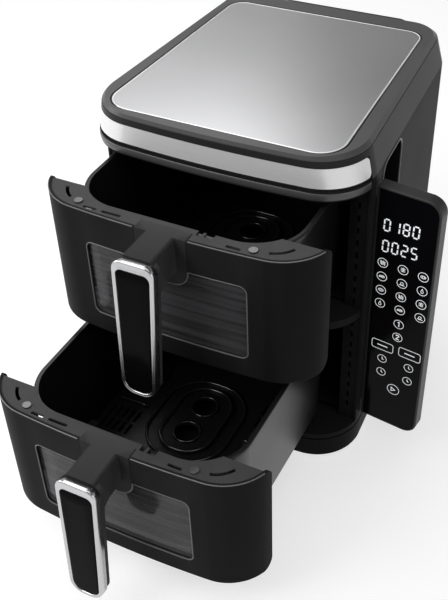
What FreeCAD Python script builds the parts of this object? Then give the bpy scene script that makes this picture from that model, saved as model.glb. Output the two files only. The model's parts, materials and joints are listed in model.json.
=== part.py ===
"""Stacked two-drawer air fryer with a side control panel, as a parametric assembly in millimetres.

Working frame of every sub-part: +X to the right, +Y to the back, +Z up, with y = 0 on the front of the
closed appliance and z = 0 on the floor. The placements then bring the middle of the base to the origin
and pull the drawers out to the pose that they rest in.
"""
import FreeCAD, Part
import math
import os
import Sketcher

DOC = FreeCAD.newDocument("stacked_air_fryer")
SHEET = DOC.addObject("Spreadsheet::Sheet", "Sizes")

SIZES = {
    # main envelope
    "body_width": 280.0,
    "body_depth": 302.0,
    "rear_width": 255.0,
    "corner_radius": 50.0,
    "rear_radius": 30.0,
    "front_radius": 1200.0,
    "wrap_depth": 44.0,
    "front_offset": 150.0,
    "wall": 2.5,
    "seam": 0.6,
    # heights above the floor
    "foot_height": 6.0,
    "base_groove": 30.5,
    "base_top": 38.0,
    "lip_bottom": 333.0,
    "collar_bottom": 343.0,
    "band_bottom": 346.0,
    "band_top": 365.5,
    "cover_bottom": 372.0,
    "top_height": 376.5,
    # leaning shoulders of the collar and the top cover
    "shoulder_lean": 6.0,
    "top_chamfer": 3.6,
    "band_recess": 2.0,
    "band_thickness": 1.7,
    # top plate
    "plate_front": 12.5,
    "plate_front_width": 235.0,
    "plate_rear_width": 215.0,
    "plate_rear": 270.0,
    "plate_front_radius": 25.0,
    "plate_rear_radius": 17.0,
    "plate_thickness": 2.0,
    "plate_gap": 1.0,
    "plate_edge": 0.7,
    # drawer levels and the pose they rest in
    "level_pitch": 149.0,
    "fascia_bottom": 193.5,
    "fascia_height": 137.0,
    "upper_pull": 90.0,
    "lower_pull": 208.0,
    # drawer front
    "fascia_wall": 3.0,
    "fascia_toe_radius": 16.0,
    "fascia_heel_radius": 8.0,
    "fascia_edge": 1.8,
    "fascia_rim": 1.0,
    "deck_drop": 0.8,
    "fascia_deck": 2.5,
    "window_half": 80.0,
    "window_bottom": 22.0,
    "window_top": 104.0,
    "window_radius": 7.0,
    "glass_thickness": 3.0,
    "glass_margin": 5.0,
    "tab_half": 25.0,
    "tab_bottom": 87.0,
    "tab_radius": 15.0,
    "tab_depth": 13.0,
    "tab_gap": 0.3,
    # deck slots, measured from the middle and from the drawer front
    "slot_width": 3.2,
    "ear_slot_x": 88.5,
    "ear_slot_y": 42.0,
    "ear_slot_radius": 27.1,
    "ear_inner": 102.0,
    "deck_notch_left": 28.0,
    "deck_notch_right": 44.0,
    # handle
    "arm_half": 14.5,
    "arm_drop": 35.0,
    "arm_reach": 38.0,
    "arm_inner_radius": 18.0,
    "grip_front": 46.0,
    "grip_tilt": 4.5,
    "grip_length": 141.0,
    "grip_top_half": 20.5,
    "grip_bottom_half": 17.5,
    "grip_top_radius": 10.0,
    "grip_bottom_radius": 14.0,
    "bezel_depth": 9.0,
    "bezel_width": 4.2,
    "grip_back": 15.0,
    "inlay_recess": 0.5,
    "inlay_thickness": 2.6,
    "fit_gap": 0.1,
    # pan
    "pan_half": 107.0,
    "pan_front": 19.0,
    "pan_rear": 272.0,
    "pan_radius": 48.0,
    "pan_draft": 4.0,
    "pan_taper": 1.8,
    "pan_toe": 7.0,
    "pan_wall": 1.5,
    "pan_floor": 6.0,
    "pan_rim": 132.5,
    "pan_rim_thickness": 4.0,
    "pan_flange": 3.0,
    "pan_window_half": 55.0,
    "pan_window_bottom": 26.0,
    "pan_window_top": 98.0,
    "pan_glass_thickness": 4.0,
    # crisper plate
    "crisper_height": 15.0,
    "crisper_thickness": 2.0,
    "crisper_gap": 6.0,
    "crisper_centre": 155.0,
    "ridge_half": 45.0,
    "ridge_length": 57.0,
    "ridge_radius": 40.0,
    "ridge_width": 3.0,
    "ridge_rise": 2.0,
    "cap_half": 30.0,
    "cap_length": 47.0,
    "cap_radius": 28.0,
    "cap_rim": 4.0,
    "cap_rise": 4.0,
    "cap_floor": 2.0,
    "finger_radius": 12.5,
    "finger_collar": 2.5,
    "finger_spacing": 39.0,
    "crisper_slot_length": 15.0,
    "crisper_slot_width": 3.4,
    "crisper_slot_pitch": 7.4,
    "bumper_radius": 5.0,
    # drawer bay
    "bay_half": 118.5,
    "bay_wall": 1.0,
    "bay_front": 50.6,
    "bay_rear": 284.0,
    "column_inner": 119.2,
    "column_front": 45.5,
    "column_rear": 50.4,
    "divider_bottom": 183.0,
    "divider_top": 192.0,
    "divider_inset": 3.2,
    "rail_width": 9.0,
    "rail_height": 5.0,
    "rail_front": 60.0,
    "rail_rear": 275.0,
    "rail_gap": 0.4,
    # hot air unit behind each bay
    "fan_height": 262.0,
    "fan_radius": 46.0,
    "fan_opening": 60.0,
    "fan_front": 286.5,
    "fan_width": 9.0,
    "fan_blades": 10.0,
    "shaft_radius": 3.0,
    "bore_gap": 0.05,
    "motor_radius": 28.0,
    "motor_front": 304.5,
    "motor_rear": 320.0,
    "heater_ring": 54.0,
    "heater_tube": 3.2,
    "heater_plane": 291.5,
    "guard_radius": 66.0,
    # rear cover and inlet
    "duct_half": 85.0,
    "duct_bottom": 64.0,
    "duct_top": 364.0,
    "duct_rear": 325.0,
    "duct_radius": 22.0,
    "inlet_radius": 9.5,
    "inlet_length": 9.0,
    # feet
    "foot_radius": 12.0,
    "foot_x": 102.0,
    "foot_front": 42.0,
    "foot_rear": 258.0,
    "screw_radius": 2.0,
    "screw_head": 4.0,
    # side scoops
    "scoop_front": 73.0,
    "scoop_rear": 132.0,
    "scoop_bottom": 209.0,
    "scoop_top": 340.5,
    "scoop_radius": 13.0,
    "scoop_depth": 16.0,
    "scoop_wall": 1.6,
    # control panel wing
    "panel_width": 63.0,
    "panel_bottom": 41.0,
    "panel_top": 330.0,
    "panel_thickness": 14.0,
    "panel_radius": 15.0,
    "panel_face": 56.0,
    "panel_root": 140.4,
    "panel_turn": 7.4,
    "panel_rim": 1.4,
    "panel_glass": 1.4,
    "panel_edge": 1.5,
}


class Dim:
    """A length that carries its number and the sheet expression that gives it."""

    def __init__(self, value, text):
        self.value = float(value)
        self.text = text

    def __add__(self, other):
        other = dim(other)
        return Dim(self.value + other.value, f"({self.text} + {other.text})")

    def __sub__(self, other):
        other = dim(other)
        return Dim(self.value - other.value, f"({self.text} - {other.text})")

    def __mul__(self, other):
        other = dim(other)
        return Dim(self.value * other.value, f"({self.text} * {other.text})")

    def __truediv__(self, other):
        other = dim(other)
        return Dim(self.value / other.value, f"({self.text} / {other.text})")

    def __rsub__(self, other):
        return dim(other) - self

    def __neg__(self):
        return Dim(-self.value, f"(-1 * {self.text})")

    __radd__ = __add__
    __rmul__ = __mul__


def dim(value):
    """Return value as a Dim, whether it is a plain number or one already."""
    return value if isinstance(value, Dim) else Dim(value, repr(float(value)))


def root(value):
    """Return the square root of a Dim."""
    return Dim(math.sqrt(value.value), f"sqrt({value.text})")


class SizeTable:
    """The driving dimensions by name, each tied to its cell of the sheet."""

    def __init__(self, sizes):
        for row, (name, value) in enumerate(sizes.items(), start=1):
            SHEET.set(f"A{row}", name)
            SHEET.set(f"B{row}", str(value))
            SHEET.setAlias(f"B{row}", name)
            setattr(self, name, Dim(value, f"Sizes.{name}"))


S = SizeTable(SIZES)
DOC.recompute()

HALF = S.body_width / 2
NODES = []
CUTS = []


def bind(target, path, value):
    """Tie one property of an object to a Dim."""
    target.setExpression(path, dim(value).text)


class Loop:
    """A closed outline of straight lines and arcs whose corners are all tied to the sheet."""

    def __init__(self, x, y):
        self.points = [(dim(x), dim(y))]
        self.radii = []

    def line(self, x, y):
        """Go straight to a point."""
        self.points.append((dim(x), dim(y)))
        self.radii.append(None)
        return self

    def arc(self, x, y, radius):
        """Go round to a point the short way, to the left for a positive radius."""
        self.points.append((dim(x), dim(y)))
        self.radii.append(dim(radius))
        return self

    def close(self, radius=None):
        """Come back to the first point, straight or round."""
        self.radii.append(None if radius is None else dim(radius))
        return self

    def draw(self, sketch):
        """Put the outline into a sketch with a constraint for every corner and radius."""
        count = len(self.radii)
        ends = []
        for index, radius in enumerate(self.radii):
            begin = corner(self.points[index])
            finish = corner(self.points[(index + 1) % count])
            if radius is None:
                ends.append((sketch.addGeometry(Part.LineSegment(begin, finish)), 1, 2))
                continue
            left = radius.value > 0
            arc = short_arc(begin, finish, abs(radius.value), left)
            ends.append((sketch.addGeometry(arc), 1 if left else 2, 2 if left else 1))
        for index, (edge, start, end) in enumerate(ends):
            following = ends[(index + 1) % count]
            sketch.addConstraint(Sketcher.Constraint("Coincident", edge, end, following[0], following[1]))
            tie_point(sketch, edge, start, *self.points[index])
            if self.radii[index] is not None:
                tie_radius(sketch, edge, self.radii[index])


def corner(point):
    """Return a pair of Dims as a vector."""
    return FreeCAD.Vector(point[0].value, point[1].value, 0)


def short_arc(begin, finish, radius, left):
    """Return the arc of under half a circle between two points that turns left or right."""
    chord = finish - begin
    rise = math.sqrt(max(radius ** 2 - (chord.Length / 2) ** 2, 0.0))
    side = FreeCAD.Vector(-chord.y, chord.x, 0).normalize()
    centre = (begin + finish) * 0.5 + side * (rise if left else -rise)
    first, last = (begin, finish) if left else (finish, begin)
    angles = [math.atan2(point.y - centre.y, point.x - centre.x) for point in (first, last)]
    if angles[1] < angles[0]:
        angles[1] += 2 * math.pi
    return Part.ArcOfCircle(Part.Circle(centre, FreeCAD.Vector(0, 0, 1), radius), *angles)


def tie_point(sketch, edge, place, x, y):
    """Fix one point of a sketch edge at sheet-driven coordinates."""
    for kind, value in (("DistanceX", x), ("DistanceY", y)):
        index = sketch.addConstraint(Sketcher.Constraint(kind, -1, 1, edge, place, value.value))
        sketch.setExpression(f"Constraints[{index}]", value.text)


def tie_radius(sketch, edge, radius):
    """Drive the radius of an arc or a circle from the sheet."""
    size = radius if radius.value > 0 else -radius
    index = sketch.addConstraint(Sketcher.Constraint("Radius", edge, size.value))
    sketch.setExpression(f"Constraints[{index}]", size.text)


class Disc:
    """A circle whose middle and radius are tied to the sheet."""

    def __init__(self, x, y, radius):
        self.place = (dim(x), dim(y))
        self.radius = dim(radius)

    def draw(self, sketch):
        """Put the circle into a sketch."""
        circle = Part.Circle(corner(self.place), FreeCAD.Vector(0, 0, 1), self.radius.value)
        edge = sketch.addGeometry(circle)
        tie_point(sketch, edge, 3, *self.place)
        tie_radius(sketch, edge, self.radius)


def rounded(x_low, x_high, y_low, y_high, radius, lower_radius=None):
    """Return a rounded rectangle; its two lower corners may have a radius of their own."""
    top = dim(radius)
    low = top if lower_radius is None else dim(lower_radius)
    loop = Loop(x_low + low, y_low)
    loop.line(x_high - low, y_low).arc(x_high, y_low + low, low)
    loop.line(x_high, y_high - top).arc(x_high - top, y_high, top)
    loop.line(x_low + top, y_high).arc(x_low, y_high - top, top)
    return loop.line(x_low, y_low + low).close(low)


def rectangle(x_low, x_high, y_low, y_high):
    """Return a plain rectangle."""
    return Loop(x_low, y_low).line(x_high, y_low).line(x_high, y_high).line(x_low, y_high).close()


class FrontCurve:
    """The bowed front and its two round corners, drawn in by an inset, up to a seam on each side."""

    def __init__(self, inset, seam, half=HALF):
        inset = dim(inset)
        reach = S.front_radius - S.corner_radius
        self.centre_x = half - S.corner_radius
        self.centre_y = S.front_radius - root(reach * reach - self.centre_x * self.centre_x)
        self.corner = S.corner_radius - inset
        self.bow = S.front_radius - inset
        self.turn_x = self.bow * self.centre_x / reach
        self.turn_y = S.front_radius - self.bow * (S.front_radius - self.centre_y) / reach
        self.seam = dim(seam)
        drop = self.centre_y - self.seam
        self.seam_x = self.centre_x + root(self.corner * self.corner - drop * drop)
        self.side_x = half - inset

    def forward(self, loop):
        """Carry a loop from the left seam round the front to the right seam."""
        loop.arc(-self.turn_x, self.turn_y, self.corner).arc(self.turn_x, self.turn_y, self.bow)
        return loop.arc(self.seam_x, self.seam, self.corner)

    def backward(self, loop):
        """Carry a loop from the right seam round the front to the left seam."""
        loop.arc(self.turn_x, self.turn_y, -self.corner).arc(-self.turn_x, self.turn_y, -self.bow)
        return loop.arc(-self.seam_x, self.seam, -self.corner)


def front_strip(inset, thickness, seam, half=HALF):
    """Return the outline of a strip that wraps the front, of an even thickness."""
    outer = FrontCurve(inset, seam, half)
    inner = FrontCurve(inset + thickness, seam, half)
    loop = outer.forward(Loop(-outer.seam_x, outer.seam))
    return inner.backward(loop.line(inner.seam_x, inner.seam)).close()


def front_shelf(inset, seam):
    """Return the outline of a shelf that fills the bowed front back to a straight edge."""
    curve = FrontCurve(inset, seam)
    return curve.forward(Loop(-curve.seam_x, curve.seam)).close()


def rear_points(inset, drawn_in):
    """Return the tangent points of the right rear corner and its radius."""
    half = S.rear_width / 2 - inset - drawn_in
    depth = S.body_depth - inset - drawn_in
    start = S.body_depth - S.rear_radius - drawn_in
    return half, start, half - (S.rear_radius - inset), depth, S.rear_radius - inset


def body_outline(inset, drawn_in=0.0):
    """Return the whole plan outline; drawn_in narrows the sides and the back for leaning shoulders."""
    inset, drawn_in = dim(inset), dim(drawn_in)
    curve = FrontCurve(inset, S.wrap_depth, HALF - drawn_in)
    half, start, end_x, depth, radius = rear_points(inset, drawn_in)
    loop = Loop(-curve.side_x, curve.centre_y)
    loop.arc(-curve.turn_x, curve.turn_y, curve.corner).arc(curve.turn_x, curve.turn_y, curve.bow)
    loop.arc(curve.side_x, curve.centre_y, curve.corner).line(half, start)
    loop.arc(end_x, depth, radius).line(-end_x, depth).arc(-half, start, radius)
    return loop.close()


def shell_outline(thickness, seam):
    """Return the plan of the two flanks and the back as one bent wall, open at the front."""
    outer, inner = FrontCurve(0.0, seam), FrontCurve(thickness, seam)
    zero = dim(0.0)
    o_half, o_start, o_end, o_depth, o_radius = rear_points(zero, zero)
    i_half, i_start, i_end, i_depth, i_radius = rear_points(dim(thickness), zero)
    loop = Loop(outer.seam_x, outer.seam).arc(outer.side_x, outer.centre_y, outer.corner)
    loop.line(o_half, o_start).arc(o_end, o_depth, o_radius).line(-o_end, o_depth)
    loop.arc(-o_half, o_start, o_radius).line(-outer.side_x, outer.centre_y)
    loop.arc(-outer.seam_x, outer.seam, outer.corner).line(-inner.seam_x, inner.seam)
    loop.arc(-inner.side_x, inner.centre_y, -inner.corner).line(-i_half, i_start)
    loop.arc(-i_end, i_depth, -i_radius).line(i_end, i_depth).arc(i_half, i_start, -i_radius)
    loop.line(inner.side_x, inner.centre_y).arc(inner.seam_x, inner.seam, -inner.corner)
    return loop.close()


def tapered_quad(front, rear, front_half, rear_half, front_radius, rear_radius):
    """Return a plan quadrilateral that narrows to the back, with round corners."""
    loop = Loop(-front_half + front_radius, front).line(front_half - front_radius, front)
    loop.arc(front_half, front + front_radius, front_radius).line(rear_half, rear - rear_radius)
    loop.arc(rear_half - rear_radius, rear, rear_radius).line(-rear_half + rear_radius, rear)
    loop.arc(-rear_half, rear - rear_radius, rear_radius)
    return loop.line(-front_half, front + front_radius).close(front_radius)


def new_body(name):
    """Start a body of features."""
    return DOC.addObject("PartDesign::Body", name)


def origin_feature(body, role):
    """Return the origin plane or axis of a body with the given role."""
    return next(item for item in body.Origin.OriginFeatures if item.Role == role)


def draw(body, role, height, *outlines):
    """Draw outlines on an origin plane of a body, at a height along that plane's normal."""
    sketch = body.newObject("Sketcher::SketchObject", "Sketch")
    sketch.AttachmentSupport = [(origin_feature(body, role), "")]
    sketch.MapMode = "FlatFace"
    bind(sketch, "AttachmentOffset.Base.z", height)
    for outline in outlines:
        outline.draw(sketch)
    return sketch


def raise_by(body, sketch, length, reverse=False):
    """Pad a sketch."""
    feature = body.newObject("PartDesign::Pad", "Pad")
    feature.Profile = sketch
    bind(feature, "Length", length)
    feature.Reversed = reverse
    sketch.Visibility = False
    return feature


def sink_by(body, sketch, depth, reverse=False):
    """Cut a pocket from a sketch."""
    feature = body.newObject("PartDesign::Pocket", "Pocket")
    feature.Profile = sketch
    bind(feature, "Length", depth)
    feature.Reversed = reverse
    CUTS.append(feature)
    return feature


def slab(body, bottom, top, *outlines):
    """Add a level slab between two heights."""
    return raise_by(body, draw(body, "XY_Plane", bottom, *outlines), dim(top) - bottom)


def dig(body, top, bottom, *outlines):
    """Cut straight down from one height to another."""
    return sink_by(body, draw(body, "XY_Plane", top, *outlines), dim(top) - bottom)


def wall_plate(body, front, rear, *outlines):
    """Add an upright slab between two depths, from outlines in X and Z."""
    return raise_by(body, draw(body, "XZ_Plane", -dim(front), *outlines), dim(rear) - front, True)


def pierce(body, front, rear, *outlines):
    """Cut through from one depth to another, from outlines in X and Z."""
    return sink_by(body, draw(body, "XZ_Plane", -dim(front), *outlines), dim(rear) - front)


def loft(body, kind, low_sketch, high_sketch):
    """Join two sketches by straight lines, adding or taking away material."""
    feature = body.newObject(f"PartDesign::{kind}Loft", "Loft")
    feature.Profile = low_sketch
    feature.Sections = [high_sketch]
    feature.Ruled = True
    if kind == "Subtractive":
        CUTS.append(feature)
    return feature


def repeat(body, feature, role, spacing, count):
    """Repeat a feature in a row along an origin axis."""
    pattern = body.newObject("PartDesign::LinearPattern", "Row")
    pattern.Originals = [feature]
    pattern.Direction = (origin_feature(body, role), [""])
    span = dim(spacing) * (count - 1)
    pattern.Length = abs(span.value)
    bind(pattern, "Length", span if span.value > 0 else -span)
    pattern.Reversed = span.value < 0
    pattern.Occurrences = count
    body.Tip = pattern
    return pattern


def soften(body, feature, radius, choose, kind="Fillet"):
    """Round or chamfer the edges of a feature that a test picks out."""
    DOC.recompute()
    names = [f"Edge{n}" for n, edge in enumerate(feature.Shape.Edges, start=1) if choose(edge.BoundBox)]
    finish = body.newObject(f"PartDesign::{kind}", kind)
    finish.Base = (feature, names)
    bind(finish, "Radius" if kind == "Fillet" else "Size", radius)
    return finish


def outer_edge(box):
    """Tell whether an edge of a front wrap is on its outer side."""
    middle_x, middle_y = (box.XMin + box.XMax) / 2, (box.YMin + box.YMax) / 2
    if box.XLength > 60:
        return box.YMin < 1.5
    return box.YLength > 10 and math.hypot(abs(middle_x) - 90.0, middle_y - 53.0) > 46.0


def level(box, height):
    """Tell whether an edge lies flat at a height."""
    return abs(box.ZMin - height) < 0.02 and abs(box.ZMax - height) < 0.02


def round_end(body, rear, height, radius, upward):
    """Round one corner of both rear ends of a wrap, straight through from side to side."""
    sign = 1 if upward else -1
    begin, beyond = dim(rear) - radius, dim(height) + sign * 3.0
    waste = Loop(begin, height).arc(rear, dim(height) - sign * dim(radius), -sign * dim(radius))
    waste.line(dim(rear) + 3.0, dim(height) - sign * dim(radius)).line(dim(rear) + 3.0, beyond)
    waste.line(begin, beyond).close()
    return sink_by(body, draw(body, "YZ_Plane", -HALF - 10.0, waste), S.body_width + 20.0, True)


def block(x, y, z):
    """Return a plain box between pairs of bounds."""
    solid = DOC.addObject("Part::Box", "Block")
    for path, axis, (low, high) in (("Length", "x", x), ("Width", "y", y), ("Height", "z", z)):
        bind(solid, path, dim(high) - low)
        bind(solid, f"Placement.Base.{axis}", low)
    return solid


def rod(axis, first, second, low, high, radius):
    """Return a cylinder along Y or Z; first and second are its other two coordinates in order."""
    solid = DOC.addObject("Part::Cylinder", "Rod")
    bind(solid, "Radius", radius)
    bind(solid, "Height", dim(high) - low)
    order = {"y": ("x", "z", "y"), "z": ("x", "y", "z")}[axis]
    if axis == "y":
        solid.Placement = FreeCAD.Placement(FreeCAD.Vector(), FreeCAD.Rotation(FreeCAD.Vector(1, 0, 0), -90))
    for name, value in zip(order, (first, second, low)):
        bind(solid, f"Placement.Base.{name}", value)
    return solid


def fuse(*solids):
    """Join solids into one."""
    joined = DOC.addObject("Part::MultiFuse", "Joined")
    joined.Shapes = list(solids)
    joined.Refine = True
    return joined


def subtract(base, *tools):
    """Cut tools out of a solid."""
    result = DOC.addObject("Part::Cut", "Cut")
    result.Base = base
    result.Tool = tools[0] if len(tools) == 1 else fuse(*tools)
    result.Refine = True
    return result


def overlap(first, second):
    """Keep what two solids share."""
    result = DOC.addObject("Part::Common", "Shared")
    result.Base = first
    result.Tool = second
    result.Refine = True
    return result


def group(*solids):
    """Hold separate solids together as one set."""
    bundle = DOC.addObject("Part::Compound", "Set")
    bundle.Links = list(solids)
    return bundle


def finish(item, label, pull=0.0, drop=0.0):
    """Label a finished sub-part and place it in the assembly frame."""
    item.Label = label
    bind(item, "Placement.Base.y", -(S.front_offset + pull))
    bind(item, "Placement.Base.z", -dim(drop))
    NODES.append(item)


def countersunk(axis, first, second, tip, head, length=1.6):
    """Return a screw along an axis: a shank from its tip and a wider head at its other end."""
    toward = 1 if dim(head).value > dim(tip).value else -1
    neck = dim(head) - toward * length
    low, high = (tip, neck) if toward > 0 else (neck, tip)
    shank = rod(axis, first, second, low, high, S.screw_radius)
    low, high = (neck, head) if toward > 0 else (head, neck)
    return fuse(shank, rod(axis, first, second, low, high, S.screw_head))


def foot_places():
    """Return the four places of the feet in plan."""
    return [(side * S.foot_x, depth) for side in (-1, 1) for depth in (S.foot_front, S.foot_rear)]


def build_base():
    """The base: a moulded tray upside down, its floor plate, four screwed rubber feet and a centre pad."""
    tray = new_body("BaseTray")
    slab(tray, S.foot_height, S.base_groove, body_outline(0.0))
    slab(tray, S.base_groove, S.base_groove + 1.2, body_outline(1.4))
    slab(tray, S.base_groove + 1.2, S.base_top, body_outline(0.4))
    hollow = draw(tray, "XY_Plane", S.foot_height, body_outline(S.wall))
    last = sink_by(tray, hollow, S.base_top - S.foot_height - S.wall, True)
    last = soften(tray, last, 2.0, lambda box: level(box, S.foot_height.value) and box.XMax > 139)
    finish(tray, "base_tray")

    plate_low, plate_high = S.foot_height + 0.5, S.foot_height + 2.5
    plate = new_body("BottomPlate")
    slab(plate, plate_low, plate_high, body_outline(S.wall + 0.3))
    dig(plate, plate_high, plate_low, *[Disc(x, y, S.screw_radius + S.bore_gap) for x, y in foot_places()])
    for side in (-1, 1):
        edges = sorted((side * 20.0, side * 64.0))
        slot = dig(plate, plate_high, plate_low, rounded(dim(edges[0]), dim(edges[1]), dim(90.0), dim(95.0), 2.4))
        repeat(plate, slot, "Y_Axis", 14.0, 10)
    finish(plate, "bottom_plate")

    feet, screws = [], []
    for x, y in foot_places():
        pad = rod("z", x, y, 1.0, plate_low, S.foot_radius)
        tread = rod("z", x, y, 0.0, 1.0, S.foot_radius - 1.0)
        bore = rod("z", x, y, 2.0, plate_low, S.screw_radius + S.bore_gap)
        well = rod("z", x, y, 0.0, 2.0, S.screw_head + 0.4)
        feet.append(subtract(fuse(pad, tread), bore, well))
        screws.append(countersunk("z", x, y, plate_high + 4.0, 0.6, 1.4))
    centre = rod("z", 0.0, S.front_offset, 1.0, plate_low, S.foot_radius)
    feet.append(fuse(centre, rod("z", 0.0, S.front_offset, 0.0, 1.0, S.foot_radius - 1.0)))
    finish(group(*feet), "feet")
    finish(group(*screws), "foot_screws")


def scoop_outline(inset):
    """Return the outline of a side scoop in Y and Z."""
    low, high = S.scoop_front + inset, S.scoop_rear - inset
    return rounded(low, high, S.scoop_bottom + inset, S.scoop_top - inset, S.scoop_radius - inset)


def scoop_block(side, inset, near, far):
    """Return a plain prism through one flank with the scoop's outline."""
    body = new_body("ScoopBlock")
    sketch = draw(body, "YZ_Plane", near if side > 0 else -far, scoop_outline(dim(inset)))
    raise_by(body, sketch, dim(far) - near)
    return body


def build_scoop(side, name):
    """A side scoop: a cup in the flank whose floor ramps in towards an air slot at its rear."""
    floor = HALF - 3.2 - S.scoop_depth
    skin = new_body("Skin")
    slab(skin, S.scoop_bottom - 5.0, S.scoop_top + 5.0, body_outline(0.4))
    cup = overlap(scoop_block(side, 0.2, floor - S.scoop_wall, HALF + 1.0), skin)
    ramp = new_body("ScoopRamp")
    deep = S.scoop_rear - 26.0
    hollow = Loop(side * (HALF + 4.0), S.scoop_front + 3.0)
    hollow.line(side * (HALF - 3.6), S.scoop_front + 3.0).line(side * (floor + 4.0), deep)
    hollow.line(side * floor, deep).line(side * floor, S.scoop_rear - S.scoop_wall - 0.2)
    hollow.line(side * (HALF + 4.0), S.scoop_rear - S.scoop_wall - 0.2).close()
    slab(ramp, S.scoop_bottom - 2.0, S.scoop_top + 2.0, hollow)
    core = scoop_block(side, S.scoop_wall + 0.2, floor - 6.0, HALF + 6.0)
    vents = []
    for step in range(8):
        z = S.scoop_bottom + 18.0 + step * 13.0
        x = sorted((side * (floor.value + 2.0), side * (floor.value - 4.0)))
        vents.append(block((x[0], x[1]), (deep + 4.0, S.scoop_rear - 6.0), (z, z + 5.0)))
    finish(subtract(cup, overlap(core, ramp), *vents), name)


def build_shell():
    """The outer shell of two flanks and a back, the shoulder collar, the band, the cover and its plate."""
    shell = new_body("OuterShell")
    slab(shell, S.base_top + 0.1, S.collar_bottom - 0.1, shell_outline(S.wall, S.wrap_depth + S.seam))
    for height in (S.fan_height, S.fan_height - S.level_pitch):
        pierce(shell, S.body_depth - 10.0, S.body_depth + 10.0, Disc(0.0, height, S.shaft_radius + 6.0))
    vent = pierce(shell, S.body_depth - 10.0, S.body_depth + 10.0,
                  rounded(dim(-60.0), dim(-20.0), dim(90.0), dim(96.0), 2.9))
    repeat(shell, vent, "Z_Axis", 14.0, 18)
    side_cut = draw(shell, "YZ_Plane", -HALF - 10.0, scoop_outline(dim(0.0)))
    sink_by(shell, side_cut, S.body_width + 20.0, True)
    finish(shell, "outer_shell")
    build_scoop(1, "right_side_scoop")
    build_scoop(-1, "left_side_scoop")

    collar = new_body("Collar")
    low = draw(collar, "XY_Plane", S.collar_bottom + 0.1, body_outline(0.0))
    high = draw(collar, "XY_Plane", S.cover_bottom - 0.2, body_outline(0.0, S.shoulder_lean))
    loft(collar, "Additive", low, high)
    dig(collar, S.cover_bottom, S.collar_bottom, body_outline(S.wall + 2.0, S.shoulder_lean))
    seam = S.wrap_depth + 0.3
    strip_low = draw(collar, "XY_Plane", S.collar_bottom, front_strip(-4.0, S.band_recess + 4.0, seam))
    strip_half = HALF - band_lean(S.band_top)
    strip_high = draw(collar, "XY_Plane", S.band_top + 0.1,
                      front_strip(-4.0, S.band_recess + 4.0, seam, strip_half))
    loft(collar, "Subtractive", strip_low, strip_high)
    finish(collar, "shoulder_collar")

    band = new_body("Band")
    inset = S.band_recess - S.band_thickness - 0.1
    sketches = [draw(band, "XY_Plane", height, front_strip(inset, S.band_thickness, S.wrap_depth,
                                                           HALF - band_lean(height)))
                for height in (S.band_bottom, S.band_top - 0.2)]
    loft(band, "Additive", *sketches)
    for height, upward in ((S.band_bottom, False), (S.band_top - 0.2, True)):
        round_end(band, S.wrap_depth, height, 5.0, upward)
    finish(band, "band_trim")

    cover = new_body("TopCover")
    low = draw(cover, "XY_Plane", S.cover_bottom, body_outline(0.5, S.shoulder_lean))
    mid = draw(cover, "XY_Plane", S.top_height - S.top_chamfer, body_outline(0.5, S.shoulder_lean))
    high = draw(cover, "XY_Plane", S.top_height, body_outline(1.2, S.shoulder_lean + S.top_chamfer - 0.7))
    loft(cover, "Additive", low, mid)
    loft(cover, "Additive", mid, high)
    gap = S.plate_gap
    dig(cover, S.top_height, S.top_height - S.plate_thickness,
        tapered_quad(S.plate_front - gap, S.plate_rear + gap, S.plate_front_width / 2 + gap,
                     S.plate_rear_width / 2 + gap, S.plate_front_radius + gap, S.plate_rear_radius + gap))
    finish(cover, "top_cover")

    plate = new_body("TopPlate")
    sheet = slab(plate, S.top_height - S.plate_thickness, S.top_height,
                 tapered_quad(S.plate_front, S.plate_rear, S.plate_front_width / 2,
                              S.plate_rear_width / 2, S.plate_front_radius, S.plate_rear_radius))
    soften(plate, sheet, S.plate_edge, lambda box: level(box, S.top_height.value), "Chamfer")
    finish(plate, "top_plate")


def band_lean(height):
    """Return how far the leaning shoulder has come in at a height."""
    return S.shoulder_lean * (height - S.collar_bottom) / (S.cover_bottom - S.collar_bottom)


def build_front_frame():
    """The front frame: two columns, the lip under the band and the shelf between the drawers."""
    frame = new_body("FrontFrame")
    slab(frame, S.lip_bottom, S.collar_bottom, front_strip(0.0, 3.0, S.wrap_depth))
    slab(frame, S.collar_bottom - 2.0, S.collar_bottom, front_shelf(2.0, S.wrap_depth))
    slab(frame, S.collar_bottom - 2.0, S.collar_bottom, front_shelf(S.wall + 0.6, S.column_rear))
    slab(frame, S.divider_bottom, S.divider_top, front_shelf(S.divider_inset, S.column_rear))
    outer = FrontCurve(S.wall + 0.6, S.column_front).seam_x
    for side in (-1, 1):
        edges = sorted((side * S.column_inner, side * outer), key=lambda edge: edge.value)
        slab(frame, S.base_top + 0.1, S.collar_bottom, rectangle(*edges, S.column_front, S.column_rear))
    for side in (-1, 1):
        middle = side * 128.0
        slot = pierce(frame, S.column_rear + 3.0, S.column_front - 3.0,
                      rounded(dim(middle - 1.3), dim(middle + 1.3), S.base_top + 17.0, S.base_top + 25.0, 1.2))
        repeat(frame, slot, "Z_Axis", 14.0, 20)
    finish(frame, "front_frame")


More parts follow.
